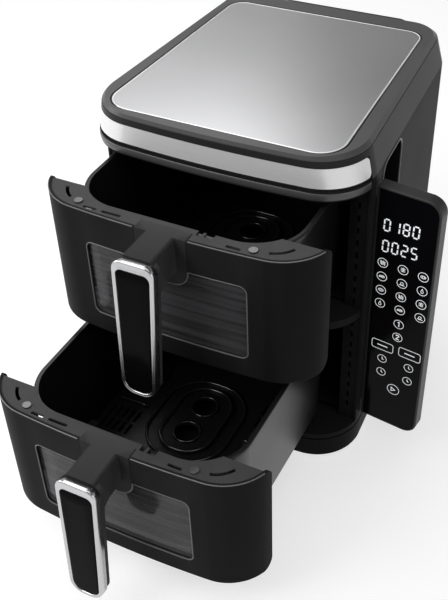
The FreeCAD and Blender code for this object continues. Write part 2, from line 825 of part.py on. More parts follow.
def build_bay(name, drop):
    """One drawer bay: a sheet steel liner open at the front, its two rails and the hot air unit."""
    half, wall = S.bay_half, S.bay_wall
    low, high = S.fascia_bottom + 0.5, S.fascia_bottom + S.fascia_height + 0.8
    outer = block((-half, half), (S.bay_front, S.bay_rear), (low, high))
    inner = block((-half + wall, half - wall), (S.bay_front - 5.0, S.bay_rear - wall), (low + wall, high - wall))
    opening = rod("y", 0.0, S.fan_height, S.bay_rear - 5.0, S.bay_rear + 5.0, S.fan_opening)
    finish(subtract(outer, inner, opening), f"{name}_bay_liner", drop=drop)

    rail_top = S.fascia_bottom + S.pan_rim - S.pan_rim_thickness - S.rail_gap
    rails = []
    for side in (-1, 1):
        edges = sorted((side * (half - wall), side * (half - wall - S.rail_width)), key=lambda edge: edge.value)
        rails.append(block(edges, (S.rail_front, S.rail_rear), (rail_top - S.rail_height, rail_top)))
    finish(group(*rails), f"{name}_rails", drop=drop)

    motor = fuse(rod("y", 0.0, S.fan_height, S.motor_front, S.motor_rear, S.motor_radius),
                 rod("y", 0.0, S.fan_height, S.motor_front - 2.4, S.motor_front, S.shaft_radius + 5.0))
    bore = rod("y", 0.0, S.fan_height, S.motor_front - 5.0, S.motor_rear + 5.0, S.shaft_radius + S.bore_gap)
    finish(subtract(motor, bore), f"{name}_fan_motor", drop=drop)

    coil = DOC.addObject("Part::Torus", "Coil")
    bind(coil, "Radius1", S.heater_ring)
    bind(coil, "Radius2", S.heater_tube)
    coil.Placement = FreeCAD.Placement(FreeCAD.Vector(), FreeCAD.Rotation(FreeCAD.Vector(1, 0, 0), -90))
    bind(coil, "Placement.Base.y", S.heater_plane)
    bind(coil, "Placement.Base.z", S.fan_height)
    tails = [rod("y", side * 14.0, S.fan_height - S.heater_ring + 2.0, S.heater_plane,
                 S.body_depth - S.wall, S.heater_tube - 0.4) for side in (-1, 1)]
    element = fuse(coil, *tails)
    probe_z = S.fan_height + 50.0
    probe = rod("y", 82.0, probe_z, S.bay_rear + 0.1, S.bay_rear + 13.0, S.shaft_radius)
    collar = rod("y", 82.0, probe_z, S.bay_rear + 0.1, S.bay_rear + 2.0, S.shaft_radius + 4.0)
    finish(group(element, fuse(probe, collar)), f"{name}_heater", drop=drop)

    guard = new_body("Guard")
    front = S.bay_rear - wall - 1.3
    wall_plate(guard, front, front + 1.2, Disc(0.0, S.fan_height, S.guard_radius))
    for ring, count in ((14.0, 6), (28.0, 12), (42.0, 18), (55.0, 24)):
        places = [(ring * math.cos(2 * math.pi * n / count), ring * math.sin(2 * math.pi * n / count))
                  for n in range(count)]
        holes = pierce(guard, front + 3.0, front - 3.0, *[Disc(x, S.fan_height + z, 4.6) for x, z in places])
        guard.Tip = holes
    finish(guard, f"{name}_air_guard", drop=drop)


def build_fan(name, drop):
    """One hot air fan: a backing disc with a hub and straight blades, on its motor shaft."""
    fan = new_body("Fan")
    bore = S.shaft_radius
    back = S.fan_front + S.fan_width
    wall_plate(fan, back - 1.2, back, Disc(0.0, S.fan_height, S.fan_radius), Disc(0.0, S.fan_height, bore))
    wall_plate(fan, S.fan_front, back - 1.2, Disc(0.0, S.fan_height, 9.0), Disc(0.0, S.fan_height, bore))
    count = int(S.fan_blades.value)
    for step in range(count):
        turn = 2 * math.pi * step / count
        along = (math.cos(turn), math.sin(turn))
        across = (-along[1] * 0.6, along[0] * 0.6)
        ends = [(along[0] * reach + sign * across[0], along[1] * reach + sign * across[1])
                for reach, sign in ((8.0, 1), (8.0, -1), (44.0, -1), (44.0, 1))]
        blade = Loop(ends[0][0], S.fan_height + ends[0][1])
        for x, z in ends[1:]:
            blade.line(x, S.fan_height + z)
        wall_plate(fan, S.fan_front, back - 1.0, blade.close())
    finish(fan, f"{name}_fan", drop=drop)
    shaft = rod("y", 0.0, S.fan_height, S.fan_front - 2.0, S.motor_rear - 2.0, S.shaft_radius)
    nut = rod("y", 0.0, S.fan_height, S.fan_front - 3.0, S.fan_front, S.shaft_radius + 2.5)
    finish(fuse(shaft, nut), f"{name}_fan_shaft", drop=drop)


def build_rear():
    """The rear cover over the two motors, its screws and the bush that the mains lead would come through."""
    cover = new_body("RearCover")
    front, rear = S.body_depth + 0.1, S.duct_rear
    half, low, high = S.duct_half, S.duct_bottom, S.duct_top
    box = wall_plate(cover, front, rear, rounded(-half, half, low, high, S.duct_radius))
    box = soften(cover, box, 5.0, lambda edge: edge.YMin > rear.value - 0.1)
    hollow = rounded(-half + 2.2, half - 2.2, low + 2.2, high - 2.2, S.duct_radius - 2.2)
    sketch = draw(cover, "XZ_Plane", -front, hollow)
    sink_by(cover, sketch, rear - front - 2.2, False)
    slot = pierce(cover, rear - 6.0, rear + 6.0, rounded(dim(-56.0), dim(56.0), dim(104.0), dim(108.5), 2.2))
    repeat(cover, slot, "Z_Axis", 12.0, 19)
    bush_x, bush_z = dim(-60.0), low + 20.0
    pierce(cover, rear - 6.0, rear + 6.0, Disc(bush_x, bush_z, S.inlet_radius - 2.5 + S.fit_gap))
    screw_places = [(side * (half - 12.0), z) for side in (-1, 1) for z in (low + 45.0, (low + high) / 2, high - 30.0)]
    pierce(cover, rear - 6.0, rear + 6.0, *[Disc(x, z, S.screw_radius + S.bore_gap) for x, z in screw_places])
    finish(cover, "rear_cover")
    screws = [countersunk("y", x, z, rear - 12.0, rear + 1.6) for x, z in screw_places]
    finish(group(*screws), "rear_cover_screws")
    bush = fuse(rod("y", bush_x, bush_z, rear, rear + S.inlet_length, S.inlet_radius),
                rod("y", bush_x, bush_z, rear - 6.0, rear, S.inlet_radius - 2.5))
    lead_bore = rod("y", bush_x, bush_z, rear - 10.0, rear + 20.0, 3.7)
    finish(subtract(bush, lead_bore), "mains_inlet_bush")


def panel_loop(inset):
    """Return the face outline of the control panel: square at the root, round at the free end."""
    inset = dim(inset)
    right, low, high = S.panel_width - inset, S.panel_bottom + inset, S.panel_top - inset
    radius = S.panel_radius - inset
    loop = Loop(inset, low).line(right - radius, low).arc(right, low + radius, radius)
    return loop.line(right, high - radius).arc(right - radius, high, radius).line(inset, high).close()


def finish_panel(item, label):
    """Label a piece of the control panel and turn it to face the user."""
    item.Label = label
    turn = FreeCAD.Rotation(FreeCAD.Vector(0, 0, 1), 0)
    item.Placement = FreeCAD.Placement(FreeCAD.Vector(), turn)
    bind(item, "Placement.Rotation.Angle", -S.panel_turn)
    bind(item, "Placement.Base.x", S.panel_root)
    bind(item, "Placement.Base.y", S.panel_face - S.front_offset)
    NODES.append(item)


def build_panel():
    """The control panel on the right flank: housing, touch glass, control board; and the power board."""
    housing = new_body("PanelHousing")
    case = wall_plate(housing, 0.0, S.panel_thickness, panel_loop(0.0))
    case = soften(housing, case, S.panel_edge, lambda box: box.YLength < 0.01 and box.XMax > 1.0)
    heel = S.panel_thickness - 0.3
    root_wedge = Loop(1.0, 0.6).line(1.0, heel).line(-2.9, heel).line(-0.35, 0.6).close()
    slab(housing, S.panel_bottom + 20.0, S.panel_top - 20.0, root_wedge)
    pierce(housing, S.panel_rim + 0.4, -1.0, panel_loop(S.panel_rim + 0.6))
    sketch = draw(housing, "XZ_Plane", -(S.panel_rim + 0.3), panel_loop(4.0))
    sink_by(housing, sketch, S.panel_thickness - 4.2, False)
    finish_panel(housing, "control_panel_housing")

    glass = new_body("PanelGlass")
    pane = wall_plate(glass, 0.4, 0.4 + S.panel_glass, panel_loop(S.panel_rim + 0.8))
    soften(glass, pane, 0.5, lambda box: box.YMax < 0.41 and box.YLength < 0.01)
    finish_panel(glass, "control_panel_glass")

    board = new_body("ControlBoard")
    wall_plate(board, 4.0, 5.6, panel_loop(7.0))
    for low in (0.73, 0.81):
        z = S.panel_bottom + (S.panel_top - S.panel_bottom) * low
        wall_plate(board, 2.4, 4.0, rectangle(dim(12.0), dim(50.0), z, z + 16.0))
    finish_panel(board, "control_board")

    card = block((-80.0, 20.0), (120.0, 220.0), (14.0, 15.6))
    relay = block((-60.0, -38.0), (140.0, 158.0), (15.6, 30.0))
    coil = block((-20.0, 8.0), (150.0, 182.0), (15.6, 32.0))
    cans = [rod("z", -64.0 + step * 16.0, 198.0, 15.6, 31.0, 6.0) for step in range(3)]
    posts = [rod("z", x, y, S.foot_height + 2.5, 14.0, 3.5) for x in (-74.0, 14.0) for y in (126.0, 214.0)]
    finish(fuse(card, relay, coil, *cans, *posts), "power_board")


def handle_notch(gap):
    """Return the outline of the handle's tab in the drawer front, open at the top, in X and Z."""
    half, low = S.tab_half + gap, S.fascia_bottom + S.tab_bottom - gap
    high = S.fascia_bottom + S.fascia_height + 2.0
    return rounded(-half, half, low, high, 1.0, S.tab_radius)


def window_loop(margin):
    """Return the outline of the drawer window, grown by a margin, in X and Z."""
    half, margin = S.window_half + margin, dim(margin)
    low, high = S.fascia_bottom + S.window_bottom - margin, S.fascia_bottom + S.window_top + margin
    return rounded(-half, half, low, high, S.window_radius)


def arc_slot(side, middle_x, middle_y, radius, first, last):
    """Return a bent slot: an arc band about a middle, between two angles in degrees, on one side."""
    inner, outer = dim(radius) - S.slot_width / 2, dim(radius) + S.slot_width / 2
    spots = {}
    for name, reach in (("inner", inner), ("outer", outer)):
        for end, angle in (("first", first), ("last", last)):
            turn = math.radians(angle)
            x = side * (middle_x + reach * math.cos(turn))
            spots[name, end] = (x, middle_y + reach * math.sin(turn))
    loop = Loop(*spots["outer", "first"]).arc(*spots["outer", "last"], side * outer)
    loop.line(*spots["inner", "last"]).arc(*spots["inner", "first"], -side * inner)
    return loop.close()


def deck_screw_places():
    """Return the places of the two deck screws in plan."""
    return [(-91.0, 15.0), (82.0, 13.2)]


def build_drawer_front(name, pull, drop):
    """One drawer front: the bowed outer wall, its slotted deck, the window pane and the deck screws."""
    low, high = S.fascia_bottom, S.fascia_bottom + S.fascia_height
    wall = new_body("Fascia")
    shell = slab(wall, low, high, front_strip(0.0, S.fascia_wall, S.wrap_depth))
    shell = soften(wall, shell, S.fascia_edge, lambda box: level(box, low.value) and outer_edge(box))
    soften(wall, shell, S.fascia_rim, lambda box: level(box, high.value) and outer_edge(box))
    round_end(wall, S.wrap_depth, low, S.fascia_toe_radius, False)
    round_end(wall, S.wrap_depth, high, S.fascia_heel_radius, True)
    pierce(wall, 30.0, -10.0, window_loop(0.0))
    pierce(wall, 30.0, -10.0, handle_notch(S.tab_gap))
    boss_top = high - S.deck_drop - S.fascia_deck - 0.1
    for x, y in deck_screw_places():
        slab(wall, boss_top - 18.0, boss_top, rectangle(dim(x - 1.5), dim(x + 1.5), dim(y - 10.0), dim(y)))
        slab(wall, boss_top - 18.0, boss_top, Disc(x, y, S.screw_radius + 1.5))
    dig(wall, boss_top, boss_top - 14.0, *[Disc(x, y, S.screw_radius + S.bore_gap) for x, y in deck_screw_places()])
    finish(wall, f"{name}_fascia", pull, drop)

    deck = new_body("Deck")
    rim = FrontCurve(S.fascia_wall + 0.1, S.wrap_depth - 6.0)
    curve, turn_x = S.pan_radius - 0.5, S.pan_half - S.pan_radius
    reach, drop_in = S.pan_front + 0.5, S.pan_front + S.pan_radius - rim.seam
    notch = turn_x + root(curve * curve - drop_in * drop_in)
    loop = rim.forward(Loop(-rim.seam_x, rim.seam)).line(notch, rim.seam)
    loop.arc(turn_x, reach, -curve).line(-turn_x, reach)
    top = high - S.deck_drop
    under = top - S.fascia_deck
    slab(deck, under, top, loop.arc(-notch, rim.seam, -curve).close())
    slots = [rounded(dim(-83.0), dim(-69.0), dim(8.4), dim(11.6), 1.5),
             rounded(dim(-64.0), dim(-44.0), dim(8.4), dim(11.6), 1.5),
             rounded(dim(58.0), dim(72.0), dim(8.4), dim(11.6), 1.5),
             arc_slot(-1, S.ear_slot_x, S.ear_slot_y, S.ear_slot_radius, -62.0, -24.0),
             arc_slot(1, S.ear_slot_x, S.ear_slot_y, S.ear_slot_radius, -76.0, -28.0),
             rectangle(S.deck_notch_left, S.deck_notch_right, S.tab_depth, S.pan_front + 4.0)]
    tab = S.tab_half + S.tab_gap
    slots.append(rectangle(-tab, tab, dim(0.0), S.tab_depth + S.tab_gap))
    dig(deck, top + 1.0, under - 1.0, *slots)
    dig(deck, top + 1.0, under - 1.0, *[Disc(x, y, S.screw_radius + S.bore_gap) for x, y in deck_screw_places()])
    slab(deck, under, top - 0.4, rectangle(dim(33.0), dim(35.4), S.tab_depth - 1.0, S.pan_front + 0.4))
    rim_height = low + S.pan_rim
    posts = [rounded(dim(x - 5.0), dim(x + 5.0), dim(14.5), dim(18.0), 1.5) for x in (-56.0, 52.0)]
    slab(deck, rim_height + 0.05, under + 0.5, *posts)
    for side in (-1, 1):
        edges = sorted((side * S.ear_inner, side * (rim.seam_x - 1.6)), key=lambda edge: edge.value)
        slab(deck, low + 20.0, under + 0.5, rectangle(*edges, rim.seam - 2.0, rim.seam - 0.2))
    finish(deck, f"{name}_fascia_deck", pull, drop)
    screws = [countersunk("z", x, y, top - 12.0, top + 1.4, 1.4) for x, y in deck_screw_places()]
    finish(group(*screws), f"{name}_deck_screws", pull, drop)

    strip = new_body("PaneStrip")
    inset = S.fascia_wall + 0.1
    slab(strip, low, high, front_strip(inset, S.glass_thickness, S.wrap_depth - 8.0))
    pane = new_body("PaneOutline")
    wall_plate(pane, -5.0, 30.0, window_loop(S.glass_margin))
    finish(overlap(strip, pane), f"{name}_window", pull, drop)


def grip_loop(inset):
    """Return the grip's outline, hanging from its top, in its own tilted X and Z."""
    inset = dim(inset)
    top, bottom = S.grip_top_half - inset, S.grip_bottom_half - inset
    round_top, round_low = S.grip_top_radius - inset, S.grip_bottom_radius - inset
    high, low = -inset, inset - S.grip_length
    loop = Loop(top, high - round_top).arc(top - round_top, high, round_top)
    loop.line(round_top - top, high).arc(-top, high - round_top, round_top)
    loop.line(-bottom, low + round_low).arc(round_low - bottom, low, round_low)
    return loop.line(bottom - round_low, low).arc(bottom, low + round_low, round_low).close()


def tilt_grip(item, pull, drop):
    """Hang a grip piece from the end of the handle arm, leaning out at its foot."""
    item.Placement = FreeCAD.Placement(FreeCAD.Vector(), FreeCAD.Rotation(FreeCAD.Vector(-1, 0, 0), 1))
    bind(item, "Placement.Rotation.Angle", S.grip_tilt)
    bind(item, "Placement.Base.y", -S.grip_front - pull)
    bind(item, "Placement.Base.z", S.fascia_bottom + S.fascia_height - drop)


def build_handle(name, pull, drop):
    """One handle: a bracket with its arm and grip back, a bright bezel, a gloss inlay and two screws."""
    zero = dim(0.0)
    top = S.fascia_bottom + S.fascia_height
    arm = new_body("Arm")
    under, back, bend = top - S.arm_drop, -S.arm_reach + 4.0, S.arm_inner_radius
    root_y = S.fascia_wall / 2
    profile = Loop(root_y, top).line(-S.arm_reach - 2.0, top).line(-S.arm_reach - 2.0, under - bend - 12.0)
    profile.line(back - 1.0, under - bend - 12.0).line(back, under - bend).arc(back + bend, under, -bend)
    profile.line(root_y, under).close()
    sketch = draw(arm, "YZ_Plane", -S.arm_half, profile)
    solid = raise_by(arm, sketch, S.arm_half * 2)
    soften(arm, solid, 3.0, lambda box: level(box, top.value) and box.YLength > 20)
    tab = new_body("Tab")
    wall_plate(tab, 0.2, S.fascia_wall, handle_notch(zero))
    cap = draw(tab, "XY_Plane", top, rectangle(dim(-60.0), dim(60.0), dim(-5.0), dim(20.0)))
    sink_by(tab, cap, dim(10.0), True)
    slab(tab, top - S.fascia_deck, top, rectangle(-S.tab_half, S.tab_half, S.fascia_wall - 1.0, S.tab_depth))
    flange_low, flange_high = S.fascia_bottom + S.window_top + S.glass_margin + 1.5, top - S.fascia_deck
    wall_plate(tab, S.fascia_wall - 0.5, S.fascia_wall + 1.0,
               rectangle(-S.tab_half, S.tab_half, flange_low, flange_high))
    wall_plate(tab, S.fascia_wall + 0.6, S.fascia_wall + 3.2,
               rectangle(-S.tab_half - 6.0, S.tab_half + 6.0, flange_low, flange_high - S.deck_drop - 0.3))
    back_slab = new_body("GripBack")
    wall_plate(back_slab, S.bezel_depth + 0.1, S.grip_back, grip_loop(1.0))
    wall_plate(back_slab, S.inlay_recess + S.inlay_thickness + 0.1, S.bezel_depth + 0.2,
               grip_loop(S.bezel_width + S.fit_gap))
    tilt_grip(back_slab, zero, zero)
    pocket = new_body("BezelRoom")
    wall_plate(pocket, -30.0, S.bezel_depth + 0.05, grip_loop(-1.0))
    tilt_grip(pocket, zero, zero)
    places = [(side * (S.tab_half + 2.6), (flange_low + flange_high) / 2) for side in (-1, 1)]
    bores = [rod("y", x, z, S.fascia_wall + 0.4, S.fascia_wall + 5.0, S.screw_radius + S.bore_gap) for x, z in places]
    bracket = fuse(subtract(fuse(arm, tab), pocket, *bores), back_slab)
    finish(bracket, f"{name}_handle", pull, drop)
    screws = [countersunk("y", x, z, S.fascia_wall + 0.6, S.fascia_wall + 4.9) for x, z in places]
    finish(group(*screws), f"{name}_handle_screws", pull, drop)

    bezel = new_body("Bezel")
    ring = wall_plate(bezel, 0.0, S.bezel_depth, grip_loop(0.0))
    ring = soften(bezel, ring, 1.8, lambda box: box.YMax < 0.01)
    hole = pierce(bezel, S.bezel_depth + 1.0, -1.0, grip_loop(S.bezel_width))
    bezel.Tip = hole
    tilt_grip(bezel, S.front_offset + pull, drop)
    bezel.Label = f"{name}_handle_bezel"
    NODES.append(bezel)
    inlay = new_body("Inlay")
    pane = wall_plate(inlay, S.inlay_recess, S.inlay_recess + S.inlay_thickness, grip_loop(S.bezel_width + S.fit_gap))
    soften(inlay, pane, 0.8, lambda box: box.YMax < S.inlay_recess.value + 0.01)
    tilt_grip(inlay, S.front_offset + pull, drop)
    inlay.Label = f"{name}_handle_inlay"
    NODES.append(inlay)


def pan_outline(inset):
    """Return the pan's plan outline, drawn in by an inset."""
    inset = dim(inset)
    half = S.pan_half - inset
    return rounded(-half, half, S.pan_front + inset, S.pan_rear - inset, S.pan_radius - inset)


def build_pan(name, pull, drop):
    """One pan with its rolled rim and front window, the window pane, the crisper plate and its bumpers."""
    floor, rim = S.fascia_bottom + S.pan_floor, S.fascia_bottom + S.pan_rim
    pan = new_body("Pan")
    cup = slab(pan, floor, rim, pan_outline(S.pan_draft))
    bind(cup, "TaperAngle", S.pan_taper)
    hollow = dig(pan, rim, floor + S.pan_wall, pan_outline(S.pan_wall))
    bind(hollow, "TaperAngle", -S.pan_taper)
    cup = soften(pan, hollow, S.pan_toe - S.pan_wall, lambda box: level(box, (floor + S.pan_wall).value))
    soften(pan, cup, S.pan_toe, lambda box: level(box, floor.value))
    flange = slab(pan, rim - S.pan_rim_thickness, rim, pan_outline(-S.pan_flange), pan_outline(0.6))
    soften(pan, flange, 1.5, lambda box: level(box, rim.value) and (box.YMin < S.pan_front.value - 2
                                                                             or box.YMax > S.pan_rear.value + 2))
    opening = rounded(-S.pan_window_half, S.pan_window_half, S.fascia_bottom + S.pan_window_bottom,
                      S.fascia_bottom + S.pan_window_top, 8.0)
    last = pierce(pan, S.pan_front + 12.0, S.pan_front - 12.0, opening)
    pan.Tip = last
    finish(pan, f"{name}_pan", pull, drop)

    glass = new_body("PanGlass")
    margin = 8.0
    back = S.pan_front - 0.4
    wall_plate(glass, back - S.pan_glass_thickness, back,
               rounded(-S.pan_window_half - margin, S.pan_window_half + margin,
                       S.fascia_bottom + S.pan_window_bottom - margin,
                       S.fascia_bottom + S.pan_window_top + margin, 10.0))
    finish(glass, f"{name}_pan_glass", pull, drop)
    build_crisper(name, pull, drop)


def oblong(half, length, radius):
    """Return a rounded outline about the crisper plate's middle, in plan."""
    return rounded(-half, half, S.crisper_centre - length, S.crisper_centre + length, radius)


def build_crisper(name, pull, drop):
    """The crisper plate with its slots, ridges and legs, the raised cap with two finger holes, and bumpers."""
    low = S.fascia_bottom + S.pan_floor + S.pan_wall + S.crisper_height - S.crisper_thickness
    high = low + S.crisper_thickness
    middle = S.crisper_centre
    plate = new_body("Crisper")
    edge = S.pan_draft + S.pan_wall + S.crisper_gap
    slab(plate, low, high, pan_outline(edge))
    dig(plate, high + 1.0, low - 1.0, oblong(S.cap_half - 4.0, S.cap_length - 4.0, S.cap_radius - 4.0))
    slab(plate, high - 0.5, high + S.ridge_rise, oblong(S.ridge_half, S.ridge_length, S.ridge_radius),
         oblong(S.ridge_half - S.ridge_width, S.ridge_length - S.ridge_width, S.ridge_radius - S.ridge_width))
    for side in (-1, 1):
        for row in (-47.0, -28.5, 18.5, 37.0):
            edges = sorted((side * 56.5, side * (56.5 + S.crisper_slot_width.value)))
            slot = dig(plate, high + 1.0, low - 1.0,
                       rounded(dim(edges[0]), dim(edges[1]), middle + row, middle + row + S.crisper_slot_length,
                               S.crisper_slot_width / 2 - 0.05))
            repeat(plate, slot, "X_Axis", side * S.crisper_slot_pitch, 5)
    for side in (-1, 1):
        edges = sorted((side * 55.0, side * 92.0))
        slab(plate, high - 0.5, high + 3.0, rounded(dim(edges[0]), dim(edges[1]), middle - 6.5, middle - 2.5, 1.9))
    legs = [Disc(side * 70.0, middle + row * 88.0, 4.0) for side in (-1, 1) for row in (-1, 1)]
    slab(plate, low - S.crisper_height + S.crisper_thickness + 0.1, low + 0.5, *legs)
    finish(plate, f"{name}_crisper_plate", pull, drop)

    cap = new_body("CrisperCap")
    slab(cap, high + 0.05, high + S.cap_rise, oblong(S.cap_half, S.cap_length, S.cap_radius))
    dig(cap, high + S.cap_rise, high + S.cap_floor,
        oblong(S.cap_half - S.cap_rim, S.cap_length - S.cap_rim, S.cap_radius - S.cap_rim))
    for side in (-1, 1):
        place = middle + side * S.finger_spacing / 2
        slab(cap, high + S.cap_floor - 0.5, high + S.cap_rise - 0.5, Disc(0.0, place, S.finger_radius + S.finger_collar))
    for side in (-1, 1):
        dig(cap, high + 8.0, low - 4.0, Disc(0.0, middle + side * S.finger_spacing / 2, S.finger_radius))
    finish(cap, f"{name}_crisper_cap", pull, drop)

    bumpers = []
    for side in (-1, 1):
        for y in (middle - 50.0, middle + 50.0):
            x = side * (S.pan_half - edge - 1.2)
            ball = rod("z", x, y, low - 2.0, high + 2.0, S.bumper_radius)
            recess = block(sorted((x - side * 12.0, x + side * 1.3), key=lambda value: value.value),
                           (y - 12.0, y + 12.0), (low - 0.05, high + 0.05))
            bumpers.append(subtract(ball, recess))
    finish(group(*bumpers), f"{name}_crisper_bumpers", pull, drop)


def check_and_export():
    """Stop on any failed object or idle cut, then write one STEP file per node."""
    DOC.recompute()
    failed = [item.Name for item in DOC.Objects if {"Invalid", "Error"} & set(item.State)]
    failed += [node.Label for node in NODES if node.Shape.isNull() or not node.Shape.isValid()]
    failed += [cut.Name for cut in CUTS if cut.Shape.Volume > cut.BaseFeature.Shape.Volume - 0.01]
    if failed:
        raise RuntimeError("failed: " + ", ".join(failed))
    os.makedirs("parts", exist_ok=True)
    for node in NODES:
        node.Shape.exportStep(f"parts/{node.Label}.step")
    print(len(NODES), "nodes written")


build_base()
build_shell()
build_front_frame()
build_rear()
build_panel()
for level_name, level_pull, level_drop in (("upper", S.upper_pull, 0.0), ("lower", S.lower_pull, S.level_pitch)):
    build_bay(level_name, level_drop)
    build_fan(level_name, level_drop)
    build_drawer_front(level_name, level_pull, level_drop)
    build_handle(level_name, level_pull, level_drop)
    build_pan(level_name, level_pull, level_drop)
check_and_export()
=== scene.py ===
"""Dressed scene of a stacked two-drawer air fryer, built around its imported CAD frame.

The CAD frame is in metres: +X towards the control panel, +Y to the back, +Z up, and the middle of the base
on the floor at the origin. The pieces' own sizes are in millimetres, with y from the closed front.
"""
from __future__ import annotations

import json
import logging
import math
from dataclasses import dataclass, field
from enum import Enum
from typing import Callable

import bpy
import numpy as np
from mathutils import Matrix

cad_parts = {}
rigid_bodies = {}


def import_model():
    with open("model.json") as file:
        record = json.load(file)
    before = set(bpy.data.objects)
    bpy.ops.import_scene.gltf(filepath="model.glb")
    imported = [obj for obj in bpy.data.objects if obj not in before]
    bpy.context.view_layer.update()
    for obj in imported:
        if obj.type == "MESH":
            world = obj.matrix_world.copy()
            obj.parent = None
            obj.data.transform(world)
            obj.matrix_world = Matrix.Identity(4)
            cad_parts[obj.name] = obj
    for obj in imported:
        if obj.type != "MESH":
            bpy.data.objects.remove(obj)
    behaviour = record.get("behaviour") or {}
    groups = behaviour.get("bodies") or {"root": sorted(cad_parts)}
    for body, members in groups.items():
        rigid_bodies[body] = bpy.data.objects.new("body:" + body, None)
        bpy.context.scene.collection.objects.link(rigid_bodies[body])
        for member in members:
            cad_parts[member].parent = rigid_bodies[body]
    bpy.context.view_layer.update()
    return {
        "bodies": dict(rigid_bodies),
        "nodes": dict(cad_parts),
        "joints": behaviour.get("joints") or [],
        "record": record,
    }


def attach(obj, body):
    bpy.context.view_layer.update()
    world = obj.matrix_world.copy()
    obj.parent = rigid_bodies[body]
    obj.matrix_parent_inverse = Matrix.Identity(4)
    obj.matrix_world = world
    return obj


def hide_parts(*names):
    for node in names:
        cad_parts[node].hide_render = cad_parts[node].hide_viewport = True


LOG = logging.getLogger("air_fryer")
MM = 0.001
FRONT_OFFSET = 150.0
UP = np.array([0.0, 0.0, 1.0])
FORWARD = np.array([0.0, -1.0, 0.0])
WHITE = (1.0, 1.0, 1.0, 1.0)
BEAD_POINTS = 10
CORNER_POINTS = 9
FINE_CORNER_POINTS = 17

Array = np.ndarray
Pair = tuple[float, float]
Triple = tuple[float, float, float]
Line = tuple[np.ndarray, bool]
Tree, Node, Socket = bpy.types.NodeTree, bpy.types.Node, bpy.types.NodeSocket
Material, Thing = bpy.types.Material, bpy.types.Object


def from_front(points: Array) -> Array:
    """Bring points in millimetres, with y from the closed front, to the CAD frame in metres."""
    return (points - np.array([0.0, FRONT_OFFSET, 0.0])) * MM


class Level(Enum):
    """The two drawer levels: name, how far each rests pulled out, and how far it lies below the upper one."""

    UPPER = ("upper", 90.0, 0.0)
    LOWER = ("lower", 208.0, 149.0)

    def __init__(self, label: str, pulled: float, drop: float) -> None:
        """Keep the level's name in node and body names, and its two distances."""
        self.label, self.pulled, self.drop = label, pulled, drop

    def place(self, points: Array) -> Array:
        """Bring points of the closed upper drawer, in millimetres, to this level's rest pose in metres."""
        return from_front(points - np.array([0.0, self.pulled, self.drop]))


class Grain(Enum):
    """How the fine structure of a finish runs over the surface."""

    MOULDED = "moulded"
    BRUSHED_X = "brushed along x"
    BRUSHED_Z = "brushed along z"
    SPECKLED = "speckled"
    SMOOTH = "smooth"


def feed(tree: Tree, node: Node, values: dict) -> Node:
    """Set a node's inputs.

    Args:
        tree: the node tree.
        node: the node.
        values: by an input's name or number, a socket to link or a plain value.

    Returns:
        The node.
    """
    for name, value in values.items():
        if isinstance(value, Socket):
            tree.links.new(value, node.inputs[name])
        else:
            node.inputs[name].default_value = value
    return node


def new_node(tree: Tree, kind: str, values: dict) -> Node:
    """Add a node of a kind, named without ShaderNode, and set its inputs."""
    return feed(tree, tree.nodes.new(f"ShaderNode{kind}"), values)


def group_node(tree: Tree, group: Tree, values: dict) -> Node:
    """Add a node that stands for a shared group and set its inputs."""
    node = new_node(tree, "Group", {})
    node.node_tree = group
    return feed(tree, node, values)


def math_node(tree: Tree, operation: str, *items: Socket | float) -> Socket:
    """Add a Math node on sockets or numbers and return its value."""
    node = new_node(tree, "Math", {})
    node.operation = operation
    return feed(tree, node, dict(enumerate(items))).outputs[0]


def mix_node(tree: Tree, factor: Socket, first: Socket | tuple, second: Socket | tuple) -> Socket:
    """Add a node that blends two colours, each a socket or a plain colour, and return the blend."""
    node = new_node(tree, "Mix", {})
    node.data_type = "RGBA"
    return feed(tree, node, {"Factor": factor, "A": first, "B": second}).outputs["Result"]


def opaque(colour: Array) -> tuple[float, ...]:
    """Return a colour within range, with full alpha."""
    return (*np.clip(colour, 0, 1), 1.0)


def new_group(name: str, inputs: dict, outputs: tuple[str, ...]) -> tuple[Tree, Node, Node]:
    """Start a shader node group with named sockets.

    Args:
        name: the group's name.
        inputs: first value of each number that goes in, or None for a vector.
        outputs: name of each number that comes out.

    Returns:
        The group, its input node and its output node.
    """
    group = bpy.data.node_groups.new(name, "ShaderNodeTree")
    for title, value in inputs.items():
        kind = "NodeSocketVector" if value is None else "NodeSocketFloat"
        socket = group.interface.new_socket(name=title, in_out="INPUT", socket_type=kind)
        if value is not None:
            socket.default_value = value
    for title in outputs:
        group.interface.new_socket(name=title, in_out="OUTPUT", socket_type="NodeSocketFloat")
    return group, group.nodes.new("NodeGroupInput"), group.nodes.new("NodeGroupOutput")


